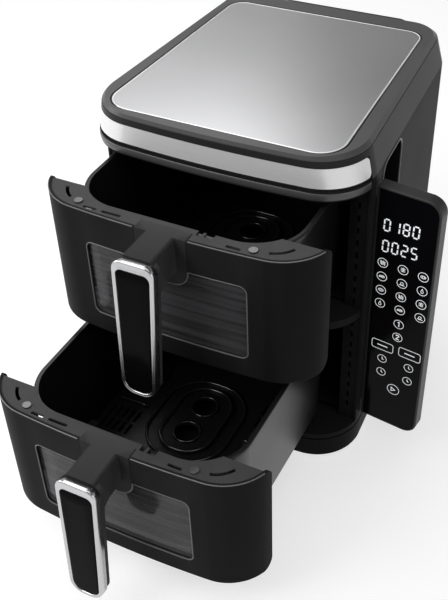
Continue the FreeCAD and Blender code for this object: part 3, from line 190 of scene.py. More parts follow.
class SharedEffects:
    """Shader node groups that more than one finish uses: a moulded skin, brushed strokes and painted
    highlights on sharp edges.
    """

    def __init__(self) -> None:
        """Build the groups once."""
        self.grain = self._noise("moulded_skin", "Height", 2200.0, (1.0, 1.0, 1.0),
                                 {"Detail": 3.0, "Roughness": 0.6}, {"Scale": 14.0, "Detail": 4.0})
        self.brush = self._noise("brushed_strokes", "Stroke", 900.0, (0.015, 1.0, 1.0),
                                 {"Detail": 2.0}, {"Scale": 9.0})
        self.edge_highlight = self._painted_edge_highlight()

    @staticmethod
    def _noise(name: str, title: str, scale: float, stretch: Triple, fine: dict, cloud: dict) -> Tree:
        """Make a fine noise for height or strokes, and slow clouds for colour and gloss.

        Args:
            name: the group's name.
            title: the name of the fine noise's socket.
            scale: its first scale.
            stretch: how the fine noise's vector is scaled along each axis.
            fine: the other inputs of the fine noise.
            cloud: the inputs of the clouds.

        Returns:
            The node group.
        """
        group, start, end = new_group(name, {"Vector": None, "Scale": scale}, (title, "Cloud"))
        vector = start.outputs["Vector"]
        long = new_node(group, "Mapping", {"Vector": vector, "Scale": stretch}).outputs[0]
        near = new_node(group, "TexNoise", {"Vector": long, "Scale": start.outputs["Scale"], **fine})
        slow = new_node(group, "TexNoise", {"Vector": vector, **cloud})
        feed(group, end, {title: near.outputs[0], "Cloud": slow.outputs[0]})
        return group

    @staticmethod
    def _painted_edge_highlight() -> Tree:
        """Make painted edge highlights: a mask that rises where the surface bends sharply outwards, where the
        colour is lightened.

        Returns:
            The node group.
        """
        group, start, end = new_group("painted_edge_highlight", {"Amount": 0.5}, ("Mask",))
        bent = new_node(group, "NewGeometry", {}).outputs["Pointiness"]
        ramp = new_node(group, "MapRange", {"Value": bent, "From Min": 0.52, "From Max": 0.62})
        feed(group, end, {"Mask": math_node(group, "MULTIPLY", ramp.outputs[0], start.outputs["Amount"])})
        return group


@dataclass(frozen=True)
class Finish:
    """A finish of one record slot: base colour, gloss and the fine structure over it."""

    slot: str
    colour: Triple
    roughness: float
    grain: Grain = Grain.MOULDED
    metallic: float = 0.0
    specular: float = 0.4
    scale: float = 2200.0
    bump: float = 0.12
    spread: float = 0.12
    # strength of the painted highlight that lightens sharp outward edges
    edge_highlight: float = 0.0
    ior: float = 1.5
    transmission: float = 0.0
    glow: float = 0.0
    record: str = ""
    gloss_share: float = 0.6
    gloss_limit: float = 0.12
    relief_depth: float = 0.0002
    edge_highlight_gain: float = 2.2
    edge_highlight_lift: float = 0.02
    fleck_scale: float = 420.0
    fleck_size: float = 0.16
    fleck_gain: float = 2.4
    fleck_lift: float = 0.012

    def material(self, effects: SharedEffects) -> Material:
        """Build the finish's node material.

        Args:
            effects: the shared node groups.

        Returns:
            The material, named after its slot.
        """
        made = bpy.data.materials.new(self.slot)
        made.use_nodes = True
        tree = made.node_tree
        shader = tree.nodes["Principled BSDF"]
        feed(tree, shader, {
            "Metallic": self.metallic, "Specular IOR Level": self.specular, "IOR": self.ior,
            "Transmission Weight": self.transmission, "Emission Strength": self.glow,
            "Emission Color": (*self.colour, 1.0)})
        where = new_node(tree, "TexCoord", {}).outputs["Object"]
        group = effects.brush if self._brushed() else effects.grain
        structure = group_node(tree, group, {"Vector": self._turned(tree, where), "Scale": self.scale})
        sway = min(self.spread, self.roughness * self.gloss_share, self.gloss_limit)
        gloss = math_node(tree, "MULTIPLY_ADD", structure.outputs["Cloud"], sway, self.roughness - sway / 2)
        feed(tree, shader, {"Base Color": self._colour(tree, where, structure, effects), "Roughness": gloss})
        if self.bump > 0 and self.grain is not Grain.SMOOTH:
            relief = new_node(tree, "Bump", {"Strength": self.bump, "Distance": self.relief_depth,
                                             "Height": structure.outputs[0]})
            feed(tree, shader, {"Normal": relief.outputs[0]})
        return made

    def _brushed(self) -> bool:
        """Tell whether the finish has brushed strokes."""
        return self.grain in (Grain.BRUSHED_X, Grain.BRUSHED_Z)

    def _turned(self, tree: Tree, where: Socket) -> Socket:
        """Turn the vector so that the strokes run the way that the finish asks for."""
        turn = {"Vector": where, "Rotation": (0.0, math.pi / 2, 0.0)}
        return new_node(tree, "Mapping", turn).outputs[0] if self.grain is Grain.BRUSHED_Z else where

    def _colour(self, tree: Tree, where: Socket, structure: Node, effects: SharedEffects) -> Socket:
        """Vary the colour over the surface, with pale flecks, and painted highlights on sharp edges, where
        the finish has them.

        Args:
            tree: the material's node tree.
            where: the object coordinates.
            structure: the node of the fine structure.
            effects: the shared node groups.

        Returns:
            The socket of the colour.
        """
        base = np.array(self.colour)
        mask = structure.outputs["Stroke" if self._brushed() else "Cloud"]
        last = mix_node(tree, mask, opaque(base * (1 - self.spread)), opaque(base * (1 + self.spread)))
        if self.grain is Grain.SPECKLED:
            cells = new_node(tree, "TexVoronoi", {"Vector": where, "Scale": self.fleck_scale})
            small = math_node(tree, "LESS_THAN", cells.outputs["Distance"], self.fleck_size)
            last = mix_node(tree, small, last, opaque(base * self.fleck_gain + self.fleck_lift))
        # painted highlight: the colour is lightened where the surface bends sharply outwards
        if self.edge_highlight > 0:
            highlit_edges = group_node(tree, effects.edge_highlight, {"Amount": self.edge_highlight}).outputs["Mask"]
            last = mix_node(tree, highlit_edges, last, opaque(base * self.edge_highlight_gain + self.edge_highlight_lift))
        return last


# Where a finish lightens its sharp edges, the lighter edges are painted highlights.
FINISHES = (
    Finish("shell_black", (0.009, 0.009, 0.0095), 0.46, specular=0.5, ior=1.09, edge_highlight=0.25),
    # a lighter copy of shell_black for the shoulder collar: a painted highlight on its chamfer
    Finish("collar_painted_highlight", (0.028, 0.028, 0.029), 0.36, specular=0.5, ior=1.17, record="shell_black"),
    Finish("panel_frame", (0.030, 0.030, 0.031), 0.36, specular=0.5, ior=1.3, edge_highlight=0.3, record="shell_black"),
    Finish("cover_charcoal", (0.065, 0.065, 0.066), 0.34, specular=0.5),
    Finish("plate_satin", (0.62, 0.62, 0.63), 0.30, Grain.BRUSHED_X, metallic=1.0, scale=1400.0, bump=0.02,
           spread=0.05),
    # a near-white copy of plate_satin for the bead round the top plate: a painted highlight on the plate's
    # edge
    Finish("plate_edge_painted_highlight", (0.93, 0.93, 0.94), 0.28, Grain.SMOOTH, metallic=0.3, spread=0.04,
           record="plate_satin"),
    Finish("band_steel", (0.90, 0.90, 0.91), 0.34, Grain.BRUSHED_X, metallic=0.35, scale=1200.0, bump=0.02,
           spread=0.05),
    Finish("sheet_steel", (0.40, 0.40, 0.41), 0.38, Grain.BRUSHED_X, metallic=1.0, scale=1000.0, bump=0.04),
    Finish("rubber_black", (0.012, 0.012, 0.012), 0.75, specular=0.2, scale=1500.0, bump=0.2),
    Finish("screw_steel", (0.50, 0.50, 0.50), 0.32, Grain.BRUSHED_X, metallic=1.0, scale=2500.0, bump=0.05),
    Finish("screw_black", (0.13, 0.13, 0.13), 0.30, metallic=0.9, bump=0.08),
    Finish("panel_gloss", (0.004, 0.004, 0.005), 0.12, Grain.SMOOTH, specular=0.5, ior=1.15, spread=0.03),
    Finish("board_green", (0.02, 0.09, 0.04), 0.35, scale=900.0),
    Finish("drawer_black", (0.011, 0.011, 0.0115), 0.50, specular=0.5, ior=1.1, edge_highlight=0.3),
    # a lighter copy of drawer_black for the handle arms: painted light from above on their tops
    Finish("arm_black_painted_top_light", (0.036, 0.036, 0.037), 0.50, specular=0.5, ior=1.1, edge_highlight=0.3, record="drawer_black"),
    Finish("deck_black", (0.034, 0.034, 0.035), 0.46, specular=0.3, ior=1.3, edge_highlight=0.3),
    # a lighter copy of deck_black for the beads on the drawer fronts: painted highlights on their edges
    Finish("painted_highlight_grey", (0.12, 0.12, 0.12), 0.30, specular=0.5, scale=3000.0, bump=0.05, record="deck_black"),
    # a lighter copy of shell_black for the front lip and the scoop rims: painted highlights on their rounded
    # edges
    Finish("rim_painted_highlight", (0.07, 0.07, 0.07), 0.30, specular=0.5, scale=3000.0, bump=0.05, record="shell_black"),
    # the glass's colour runs in strong streaks along x: painted reflection streaks
    Finish("window_glass", (0.10, 0.10, 0.105), 0.06, Grain.BRUSHED_X, specular=0.25, scale=170.0, bump=0.0,
           spread=0.98, ior=1.28, transmission=0.45),
    Finish("bezel_chrome", (0.52, 0.52, 0.53), 0.26, Grain.SMOOTH, metallic=1.0, spread=0.06),
    Finish("inlay_gloss", (0.003, 0.003, 0.0035), 0.14, Grain.SMOOTH, specular=0.5, ior=1.1, spread=0.03),
    Finish("nonstick_black", (0.007, 0.007, 0.0075), 0.30, Grain.SPECKLED, specular=0.30, scale=1600.0,
           bump=0.10),
    Finish("crest_black", (0.010, 0.010, 0.011), 0.16, specular=0.7, scale=1600.0, bump=0.05,
           record="nonstick_black"),
    Finish("liner_dark", (0.016, 0.016, 0.017), 0.45, Grain.BRUSHED_Z, metallic=0.3, specular=0.3,
           scale=700.0, bump=0.05),
    Finish("motor_steel", (0.45, 0.45, 0.46), 0.36, Grain.BRUSHED_X, metallic=1.0, bump=0.05),
    Finish("heater_tube", (0.20, 0.19, 0.18), 0.45, metallic=0.9, scale=900.0, bump=0.1),
    Finish("fan_aluminium", (0.60, 0.60, 0.61), 0.34, Grain.BRUSHED_X, metallic=1.0, bump=0.05),
    Finish("led_white", (0.78, 0.80, 0.82), 0.40, Grain.SMOOTH, spread=0.02, glow=0.55),
)

# The collar and the handle arms get lighter copies of their plastic: a painted highlight on the collar's
# chamfer and painted light from above on the arms.
OWN_FINISH = {"shoulder_collar": "collar_painted_highlight", "control_panel_housing": "panel_frame",
              "upper_handle": "arm_black_painted_top_light", "lower_handle": "arm_black_painted_top_light"}


@dataclass
class Surface:
    """Points of shape (n, 3) and faces as lists of point numbers."""

    points: Array
    faces: list

    @staticmethod
    def join(parts: list[Surface]) -> Surface:
        """Put several surfaces together as one."""
        starts = np.cumsum([0] + [len(part.points) for part in parts])
        return Surface(np.concatenate([part.points for part in parts]), [
            [number + start for number in face] for part, start in zip(parts, starts) for face in part.faces])

    def at(self, place: Callable[[Array], Array]) -> Surface:
        """Return the surface with its points brought to another place by a function."""
        return Surface(place(self.points), self.faces)

    def dressed(self, name: str, smooth: bool, material: Material) -> Thing:
        """Make a mesh object of the surface, with one material.

        Args:
            name: the object's name.
            smooth: whether it is shaded smooth.
            material: its material.

        Returns:
            The object.
        """
        mesh = bpy.data.meshes.new(name)
        mesh.from_pydata(self.points.tolist(), [], self.faces)
        mesh.validate()
        mesh.materials.append(material)
        if smooth:
            mesh.shade_smooth()
        return add_object(name, mesh)


def add_object(name: str, data: bpy.types.ID) -> Thing:
    """Make an object of a mesh, a lamp or a camera and link it to the scene.

    Args:
        name: its name.
        data: what it shows.

    Returns:
        The object.
    """
    made = bpy.data.objects.new(name, data)
    bpy.context.scene.collection.objects.link(made)
    return made


def stand(made: Thing, right: Array, back: Array, place: Array) -> None:
    """Stand a lamp or a camera at a place, with its own x axis to the right and its z axis to the back."""
    rows = np.stack([right, np.cross(back, right), back, place], 1).tolist()
    made.matrix_world = Matrix([*rows, [0.0, 0.0, 0.0, 1.0]])


class FinishBook:
    """All finishes as materials, and the dressing of the frame's nodes with them."""

    def __init__(self) -> None:
        """Build every material once."""
        effects = SharedEffects()
        self.materials = {finish.slot: finish.material(effects) for finish in FINISHES}
        self.records = {finish.slot: finish.record or finish.slot for finish in FINISHES}

    def dress_nodes(self, frame: dict) -> None:
        """Give every carried CAD node the material of its record slot, or its own where it has one.
        """
        slots = {row["node"]: row["material_slot"] for row in frame["record"]["subparts"]}
        for name, node in frame["nodes"].items():
            node.data.materials.clear()
            node.data.materials.append(self.materials[OWN_FINISH.get(name, slots[name])])

    def piece(self, name: str, slot: str, body: str, surface: Surface, smooth: bool = True) -> Thing:
        """Make a new piece of a surface, with its finish, its slot and the body that it moves with.

        Args:
            name: the piece's name.
            slot: the name of its finish.
            body: the body that it rides on.
            surface: its points in metres and its faces.
            smooth: whether it is shaded smooth.

        Returns:
            The new object.
        """
        made = surface.dressed(name, smooth, self.materials[slot])
        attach(made, body)
        LOG.info("%s: %d faces on %s", name, len(made.data.polygons), body)
        return made


def grid_faces(rows: int, columns: int, closed: bool) -> Array:
    """Return the quads between rings of points.

    Args:
        rows: number of rings.
        columns: number of points in a ring.
        closed: whether the last ring joins the first.

    Returns:
        Integer array of shape (quads, 4).
    """
    row, column = np.meshgrid(np.arange(rows if closed else rows - 1), np.arange(columns), indexing="ij")
    here, after, beside = row * columns, (row + 1) % rows * columns, (column + 1) % columns
    return np.stack((here + column, here + beside, after + beside, after + column), -1).reshape(-1, 4)


def tube_faces(rows: int, columns: int, closed: bool) -> list[list[int]]:
    """Return the faces of a tube of rings, with a cap at each end unless it comes back to its start."""
    caps = [list(range(columns))[::-1], list(range((rows - 1) * columns, rows * columns))]
    return grid_faces(rows, columns, closed).tolist() + ([] if closed else caps)


def cup_faces(rows: int, columns: int) -> list[list[int]]:
    """Return the faces of a cup of rings, which are turned inside out, with a cap on the first ring."""
    return grid_faces(rows, columns, False)[:, ::-1].tolist() + [list(range(columns))]


def sweep(path: Array, side: Array, out: Array, profile: Array, closed: bool) -> Surface:
    """Carry a closed profile (a, b) along a path: point(i, j) = path(i) + a(j) side(i) + b(j) out(i).

    Args:
        path: points of shape (n, 3).
        side: first profile axis, for each path point or for all.
        out: second profile axis, for each path point or for all.
        profile: points of shape (m, 2), counter-clockwise seen along the path.
        closed: whether the path comes back to its start.

    Returns:
        A closed surface, with end caps on an open path.
    """
    side, out = (np.broadcast_to(axis, path.shape)[:, None] for axis in (side, out))
    points = path[:, None] + profile[:, :1] * side + profile[:, 1:] * out
    return Surface(points.reshape(-1, 3), tube_faces(len(path), len(profile), closed))


def circle(radius: float, count: int) -> Array:
    """Return a round outline: (r cos t, r sin t)."""
    turn = np.linspace(0, 2 * np.pi, count, endpoint=False)
    return radius * np.stack([np.cos(turn), np.sin(turn)], -1)


def arc(centre: Pair, radius: float, first: float, last: float, count: int = CORNER_POINTS) -> Array:
    """Return points on an arc between two angles in degrees: centre + r (cos t, sin t)."""
    turn = np.radians(np.linspace(first, last, count))
    return np.array(centre) + radius * np.stack([np.cos(turn), np.sin(turn)], -1)


def filleted(corners: list[Triple], count: int = CORNER_POINTS) -> Array:
    """Round the corners of a counter-clockwise outline.

    A corner of turn p and radius r starts r tan(p / 2) before its tip and turns about a centre on the inside.

    Args:
        corners: x, y and radius of each corner.
        count: points on each rounded corner.

    Returns:
        Points of shape (corners * count, 2), the same number for any size of the outline.
    """
    tips = np.array([corner[:2] for corner in corners])
    radii = np.array([corner[2] for corner in corners])[:, None]
    coming = tips - np.roll(tips, 1, axis=0)
    coming /= np.linalg.norm(coming, axis=1, keepdims=True)
    going = np.roll(coming, -1, axis=0)
    turn = np.arccos(np.clip((coming * going).sum(1, keepdims=True), -1, 1))
    inward = np.stack([-coming[:, 1], coming[:, 0]], -1)
    middle = tips - coming * radii * np.tan(turn / 2) + inward * radii
    angle = turn * np.linspace(0, 1, count)
    reach = -inward[:, None] * np.cos(angle)[..., None] + coming[:, None] * np.sin(angle)[..., None]
    return (middle[:, None] + radii[:, None] * reach).reshape(-1, 2)


def oblong(middle: Pair, half: float, rise: float, radius: float, count: int = CORNER_POINTS) -> Array:
    """Return a rounded rectangle about a middle, from the corner at minus half and minus rise."""
    signs = ((-1, -1), (1, -1), (1, 1), (-1, 1))
    return filleted([(middle[0] + x * half, middle[1] + y * rise, radius) for x, y in signs], count)


def lifted(flat: Array, height: float) -> Array:
    """Give points one more coordinate, the same for all."""
    return np.column_stack([flat, np.full(len(flat), height)])


def outward(flat: Array) -> Array:
    """Return the unit outward direction of a closed counter-clockwise line at each of its points."""
    ahead = np.roll(flat, -1, axis=0) - np.roll(flat, 1, axis=0)
    return np.stack([ahead[:, 1], -ahead[:, 0]], -1) / np.linalg.norm(ahead, axis=1, keepdims=True)


def spaced(path: Array, step: float) -> Array:
    """Spread points evenly along a closed line of points.

    Args:
        path: points of shape (n, 2).
        step: wanted distance between points.

    Returns:
        Points of shape (m, 2), without the first again at the end.
    """
    line = np.concatenate([path, path[:1]])
    reach = np.concatenate([[0.0], np.cumsum(np.linalg.norm(np.diff(line, axis=0), axis=1))])
    marks = np.linspace(0, reach[-1], int(reach[-1] / step), endpoint=False)
    return np.stack([np.interp(marks, reach, line[:, axis]) for axis in (0, 1)], -1)


def bead(path: Array, side: Array, rise: Array, radius: float, closed: bool) -> Surface:
    """Carry a small round profile along a path, between its side and rising directions."""
    return sweep(path, side, rise, circle(radius, BEAD_POINTS), closed)


def level_bead(outline: Array, height: float, radius: float, step: float) -> Surface:
    """Carry a round profile along a closed counter-clockwise outline at one height, in steps."""
    flat = spaced(outline, step)
    return bead(lifted(flat, height), lifted(outward(flat), 0.0), UP, radius, True)


SEGMENTS = {"a": ((0, 2), (1, 2)), "b": ((1, 2), (1, 1)), "c": ((1, 1), (1, 0)), "d": ((0, 0), (1, 0)),
            "e": ((0, 0), (0, 1)), "f": ((0, 1), (0, 2)), "g": ((0, 1), (1, 1))}
FIGURES = {"0": "abcdef", "1": "bc", "2": "abged", "5": "afgcd", "8": "abcdefg"}
NUMERAL_ONE = [(-1.0, 1.8), (0.3, 2.8), (0.3, -2.8)]
NUMERAL_TWO = [(-1.5, 1.7), (-0.9, 2.6), (0.9, 2.6), (1.6, 1.5), (-1.6, -2.6), (1.8, -2.6)]
CLOCK_HANDS = [(0.0, 2.4), (0.0, 0.0), (1.7, -0.9)]
PILL_DASH = [(-5.5, 0.0), (5.5, 0.0)]
START_ARROW = [(-2.2, -2.4), (-2.2, 2.4), (2.0, 0.0)]


def open_lines(*paths: list[Pair]) -> list[Line]:
    """Return open lines through the points of each path."""
    return [(np.array(path), False) for path in paths]


def pictograms() -> list[list[Line]]:
    """Return the six plain pictograms, each as lines about its middle: waves, leaf, loaf, drop, rack and sun.

    The leaf is (2.7 cos t, 1.35 sin t |cos(t / 2)|^0.5).
    The drop is (1.9 sin t (1 - cos t) / 2, 2.5 cos t).

    Returns:
        The lines of each pictogram.
    """
    cosine, sine = circle(1.0, 24).T
    narrow = np.abs(np.cos(np.linspace(0, np.pi, len(sine), endpoint=False))) ** 0.5
    wave = np.linspace(-2.6, 2.6, 13)
    waves = [(np.stack([wave, 0.7 * np.sin(2.4 * wave) + lift], -1), False) for lift in (-1.5, 0.0, 1.5)]
    leaf = np.stack([2.7 * cosine, 1.35 * sine * narrow], -1)
    loaf = np.stack([2.6 * cosine, 1.5 * sine], -1)
    drop = np.stack([1.9 * sine * (1 - cosine) / 2, 2.5 * cosine], -1)
    rack = open_lines(*([(-2.2, lift), (2.2, lift)] for lift in (-1.6, 0.0, 1.6)), [(0.0, -2.4), (0.0, 2.4)])
    sun = np.stack([1.5 * cosine, 1.5 * sine], -1)
    return [waves,
            [(leaf, True), *open_lines([(-3.0, -1.2), (0.0, 0.0), (2.0, 0.6)])],
            [(loaf, True), *open_lines([(-1.2, 0.9), (-0.4, -0.9)], [(0.6, 1.1), (1.4, -0.7)])],
            [(drop, True)],
            rack,
            [(sun, True), *open_lines([(-2.9, -1.9), (2.9, -1.9)])]]


@dataclass
class TouchPanel:
    """The marks on the control panel: digits, ringed pictograms, numbers and key outlines.

    Places on the panel are (along, up), in millimetres.
    """

    root: Pair = (140.4, 56.0)
    turn: float = 7.4
    face: float = 0.4
    rise: float = 0.16
    sunk: float = 0.05
    mitre_limit: float = 0.5
    digit_width: float = 5.6
    digit_height: float = 12.4
    digit_pitch: float = 9.6
    digit_left: float = 9.0
    digit_gap: float = 0.75
    digit_line: float = 1.45
    digit_lean: float = 0.5
    digit_climb: float = 0.08
    digit_rows: tuple[tuple[str, float], ...] = (("0180", 284.0), ("0025", 260.5))
    ring_radius: float = 5.1
    ring_line: float = 0.58
    ring_points: int = 32
    sign_line: float = 0.62
    key_columns: tuple[Pair, ...] = ((10.8, 0.2), (31.8, 0.4 / 1.5), (52.3, 0.7 / 1.5))
    key_rows: int = 4
    key_top: float = 247.4
    key_pitch: float = 16.2
    numeral_line: float = 1.2
    numerals: tuple[Pair, ...] = ((33.0, 180.9), (33.0, 164.2))
    pill_size: Triple = (11.6, 5.6, 2.4)
    pill_line: float = 0.6
    pill_step: float = 1.0
    dash_line: float = 1.1
    pills: tuple[Pair, ...] = ((18.1, 146.0), (47.6, 147.6))
    hand_line: float = 0.8
    clock_radius: float = 4.8
    clocks: tuple[Pair, ...] = ((18.9, 128.8), (19.1, 110.9), (48.2, 130.0), (48.2, 112.2))
    start_radius: float = 6.5
    start: Pair = (34.2, 93.0)

    def world(self, points: Array) -> Array:
        """Bring panel points (along, up, depth) to the CAD frame: root + along X' + depth Y' + up Z.

        Args:
            points: array of shape (n, 3).

        Returns:
            Array of the same shape, in metres.
        """
        angle = math.radians(self.turn)
        along = np.array([math.cos(angle), -math.sin(angle), 0.0])
        depth = np.array([math.sin(angle), math.cos(angle), 0.0])
        foot = np.array([*self.root, 0.0])
        return from_front(foot + points[:, :1] * along + points[:, 2:] * depth + points[:, 1:2] * UP)

    def bar(self, path: Array, width: float, closed: bool = False) -> Surface:
        """Draw a raised line: a flat bar of a width along a path in the panel's plane.

        Args:
            path: points (along, up) in millimetres.
            width: width of the line.
            closed: whether it is a ring.

        Returns:
            A closed thin prism whose sides are offset from the path along its mitred normals.
        """
        ahead = np.roll(path, -1, axis=0) - path
        behind = path - np.roll(path, 1, axis=0)
        if not closed:
            ahead[-1], behind[0] = behind[-1], ahead[0]
        units = [step / np.linalg.norm(step, axis=1, keepdims=True) for step in (ahead, behind)]
        first, second = (np.stack([-unit[:, 1], unit[:, 0]], -1) for unit in units)
        mitre = first + second
        mitre /= np.maximum((mitre * first).sum(1, keepdims=True), self.mitre_limit)
        half, low, high = width / 2, self.face + self.sunk, self.face - self.rise
        corners = ((half, high), (half, low), (-half, low), (-half, high))
        points = np.stack([lifted(path + side * mitre, depth) for side, depth in corners], 1).reshape(-1, 3)
        return Surface(self.world(points), tube_faces(len(path), len(corners), closed))

    def digit(self, lit: str, left: float, base: float) -> list[Surface]:
        """Draw one seven-bar digit with its top leaning.

        Args:
            lit: the letters of the lit bars, a to g.
            left: its left edge.
            base: its foot.

        Returns:
            One bar for each lit bar.
        """
        bars = []
        for letter in lit:
            line = np.array(SEGMENTS[letter]) * np.array([self.digit_width, self.digit_height / 2])
            step = (line[1] - line[0]) / np.linalg.norm(line[1] - line[0])
            line += np.array([self.digit_gap, -self.digit_gap])[:, None] * step
            line[:, 0] += self.digit_lean * line[:, 1] / self.digit_height
            bars.append(self.bar(line + np.array([left, base]), self.digit_line))
        return bars

    def rows_of_digits(self) -> Surface:
        """Draw the two rows of plain digits, each with a baseline that climbs along the row.

        Returns:
            All bars as one surface.
        """
        parts = []
        for text, base in self.digit_rows:
            for place, figure in enumerate(text):
                left = self.digit_left + place * self.digit_pitch
                parts += self.digit(FIGURES[figure], left, base + self.digit_climb * left)
        return Surface.join(parts)

    def mark(self, middle: Pair, lines: list[Line], width: float, radius: float) -> list[Surface]:
        """Draw a ringed sign: a ring about a middle, and lines of a width inside it."""
        ring = self.bar(circle(radius, self.ring_points) + np.array(middle), self.ring_line, True)
        return [ring] + [self.bar(path + np.array(middle), width, closed) for path, closed in lines]

    def keys(self) -> Surface:
        """Draw the ringed keys, the two numbered keys, the two pills, the clocks and the start key.

        Returns:
            All lines as one surface.
        """
        signs = pictograms()
        places = [(along + shift * row, self.key_top - self.key_pitch * row)
                  for along, shift in self.key_columns for row in range(self.key_rows)]
        parts = []
        for number, place in enumerate(places):
            parts += self.mark(place, signs[number % len(signs)], self.sign_line, self.ring_radius)
        for place, numeral in zip(self.numerals, (NUMERAL_ONE, NUMERAL_TWO)):
            parts += self.mark(place, open_lines(numeral), self.numeral_line, self.ring_radius)
        half, rise, radius = self.pill_size
        for place in self.pills:
            outline = spaced(oblong(place, -half, -rise, radius), self.pill_step)
            parts.append(self.bar(outline, self.pill_line, True))
            parts.append(self.bar(np.array(PILL_DASH) + np.array(place), self.dash_line))
        for place in self.clocks:
            parts += self.mark(place, open_lines(CLOCK_HANDS), self.hand_line, self.clock_radius)
        parts += self.mark(self.start, [(np.array(START_ARROW), True)], self.hand_line, self.start_radius)
        return Surface.join(parts)

    def build(self, book: FinishBook) -> None:
        """Make the digits and the keys as two pieces on the housing."""
        book.piece("panel_digits", "led_white", "housing", self.rows_of_digits(), False)
        book.piece("panel_key_marks", "led_white", "housing", self.keys(), False)


@dataclass
class FrontCurve:
    """The bowed front in plan: a wide arc that turns into a smaller arc at each end."""

    bow: float = 1200.0
    corner: float = 50.0
    corner_x: float = 90.0
    bow_points: int = 60
    corner_points: int = 40

    def line(self, inset: float, end: float) -> tuple[Array, Array]:
        """Return points of the curve from its left end to its right, and their outward directions.

        The bow is (0, R) + (R - inset)(sin t, -cos t); each corner turns about a centre at R - r from (0, R).

        Args:
            inset: how far inside the outer face.
            end: depth behind the front at which the curve stops.

        Returns:
            Points and unit directions, each of shape (n, 2).
        """
        middle_y = self.bow - math.sqrt((self.bow - self.corner) ** 2 - self.corner_x ** 2)
        meet = math.asin(self.corner_x / (self.bow - self.corner))
        last = math.pi / 2 + math.asin(min((end - middle_y) / (self.corner - inset), 1.0))
        turned = np.linspace(-last, -meet, self.corner_points, endpoint=False)
        turn = np.concatenate([turned, np.linspace(-meet, meet, self.bow_points), -turned[::-1]])
        out = np.stack([np.sin(turn), -np.cos(turn)], -1)
        wide = np.array([0.0, self.bow]) + (self.bow - inset) * out
        tight = lifted(np.sign(turn) * self.corner_x, middle_y) + (self.corner - inset) * out
        return np.where((np.abs(turn) <= meet)[:, None], wide, tight), out


@dataclass
class Grip:
    """The grip's outline at the end of the handle arm, and the bezel and the inlay that follow it."""

    top_half: float = 20.5
    low_half: float = 17.5
    length: float = 141.0
    top_round: float = 10.0
    low_round: float = 14.0
    front: float = 46.0
    top: float = 330.5
    tilt: float = 4.5
    crown: float = 2.4
    rim: float = 4.2
    lip: float = 2.4
    lip_start: float = 0.1
    lip_points: int = 25
    bezel_back: float = 9.0
    channel: float = 0.9
    channel_share: float = 0.2
    inlay_gap: float = 4.35
    inlay_face: float = 0.7
    inlay_back: float = 3.1
    inlay_edge: tuple[Pair, ...] = ((0.0, 0.35), (0.02, 0.1), (0.05, 0.02))
    inlay_start: float = 0.12
    inlay_rows: int = 12
    facet: float = 11.0
    facet_bend: float = 2.1
    spine_end: float = 25.0

    def outline(self, inset: float, depth: float) -> Array:
        """Return the outline at a depth behind the face, drawn in by an inset, and by more at its top.

        Args:
            inset: how far it is drawn in.
            depth: how far it lies behind the face.

        Returns:
            Points of shape (n, 3).
        """
        low, high = inset - self.length, -inset * self.crown
        wide, narrow = self.top_half - inset, self.low_half - inset
        low_round, top_round = self.low_round - inset, self.top_round - inset
        flat = filleted([(-narrow, low, low_round), (narrow, low, low_round),
                         (wide, high, top_round), (-wide, high, top_round)])
        return np.insert(flat, 1, depth, axis=1)

    def hung(self, points: Array) -> Array:
        """Tilt grip points about the grip's top edge and hang them there.

        Args:
            points: array of shape (n, 3).

        Returns:
            Array of the same shape.
        """
        angle = math.radians(-self.tilt)
        cosine, sine = math.cos(angle), math.sin(angle)
        turn = np.array([[1, 0, 0], [0, cosine, -sine], [0, sine, cosine]])
        return points @ turn.T + np.array([0.0, -self.front, self.top])

    def bezel(self) -> Surface:
        """Make the bezel as a ring with two round lips and a shallow channel between them.

        With a share s = (1 - cos t) / 2, the inset is rim s and the depth is
        start + lip (1 - sin t) + channel exp(-((s - 1/2) / width)^2); then it goes straight back.

        Returns:
            A closed ring.
        """
        turn = np.linspace(0, np.pi, self.lip_points)
        share = (1 - np.cos(turn)) / 2
        channel = self.channel * np.exp(-((share - 0.5) / self.channel_share) ** 2)
        inset = np.concatenate([[0.0], self.rim * share, [self.rim]])
        depth = np.pad(self.lip_start + self.lip * (1 - np.sin(turn)) + channel, 1,
                       constant_values=self.bezel_back)
        rings = np.concatenate([self.outline(*place) for place in zip(inset, depth)])
        return Surface(self.hung(rings), tube_faces(len(inset), len(rings) // len(inset), True))

    def inlay(self) -> Surface:
        """Make the inlay as a tongue with a soft edge that bends back towards its top.

        point(s, p) = outline drawn in towards the middle line by s, at depth face + edge(s) + bend(z), where
        the bend grows as the square of the height above the start of the facet; a flat back closes it.

        Returns:
            A closed surface.
        """
        rim = self.outline(self.inlay_gap, 0.0)
        spine = np.zeros_like(rim)
        spine[:, 2] = np.clip(rim[:, 2], self.spine_end - self.length, -self.spine_end)
        share = np.linspace(self.inlay_start, 1.0, self.inlay_rows)
        share, edge = np.concatenate([self.inlay_edge, lifted(share, 0.0)]).T[..., None]
        rows = rim + (spine - rim) * share[..., None]
        rise = np.clip((rows[..., 2] + self.inlay_gap * self.crown + self.facet) / self.facet, 0, 1)
        rows[..., 1] = self.inlay_face + self.facet_bend * rise ** 2 + edge
        back = rim + np.array([0.0, self.inlay_back, 0.0])
        points = np.concatenate([back[None], rows])
        return Surface(self.hung(points.reshape(-1, 3)), cup_faces(*points.shape[:2]))


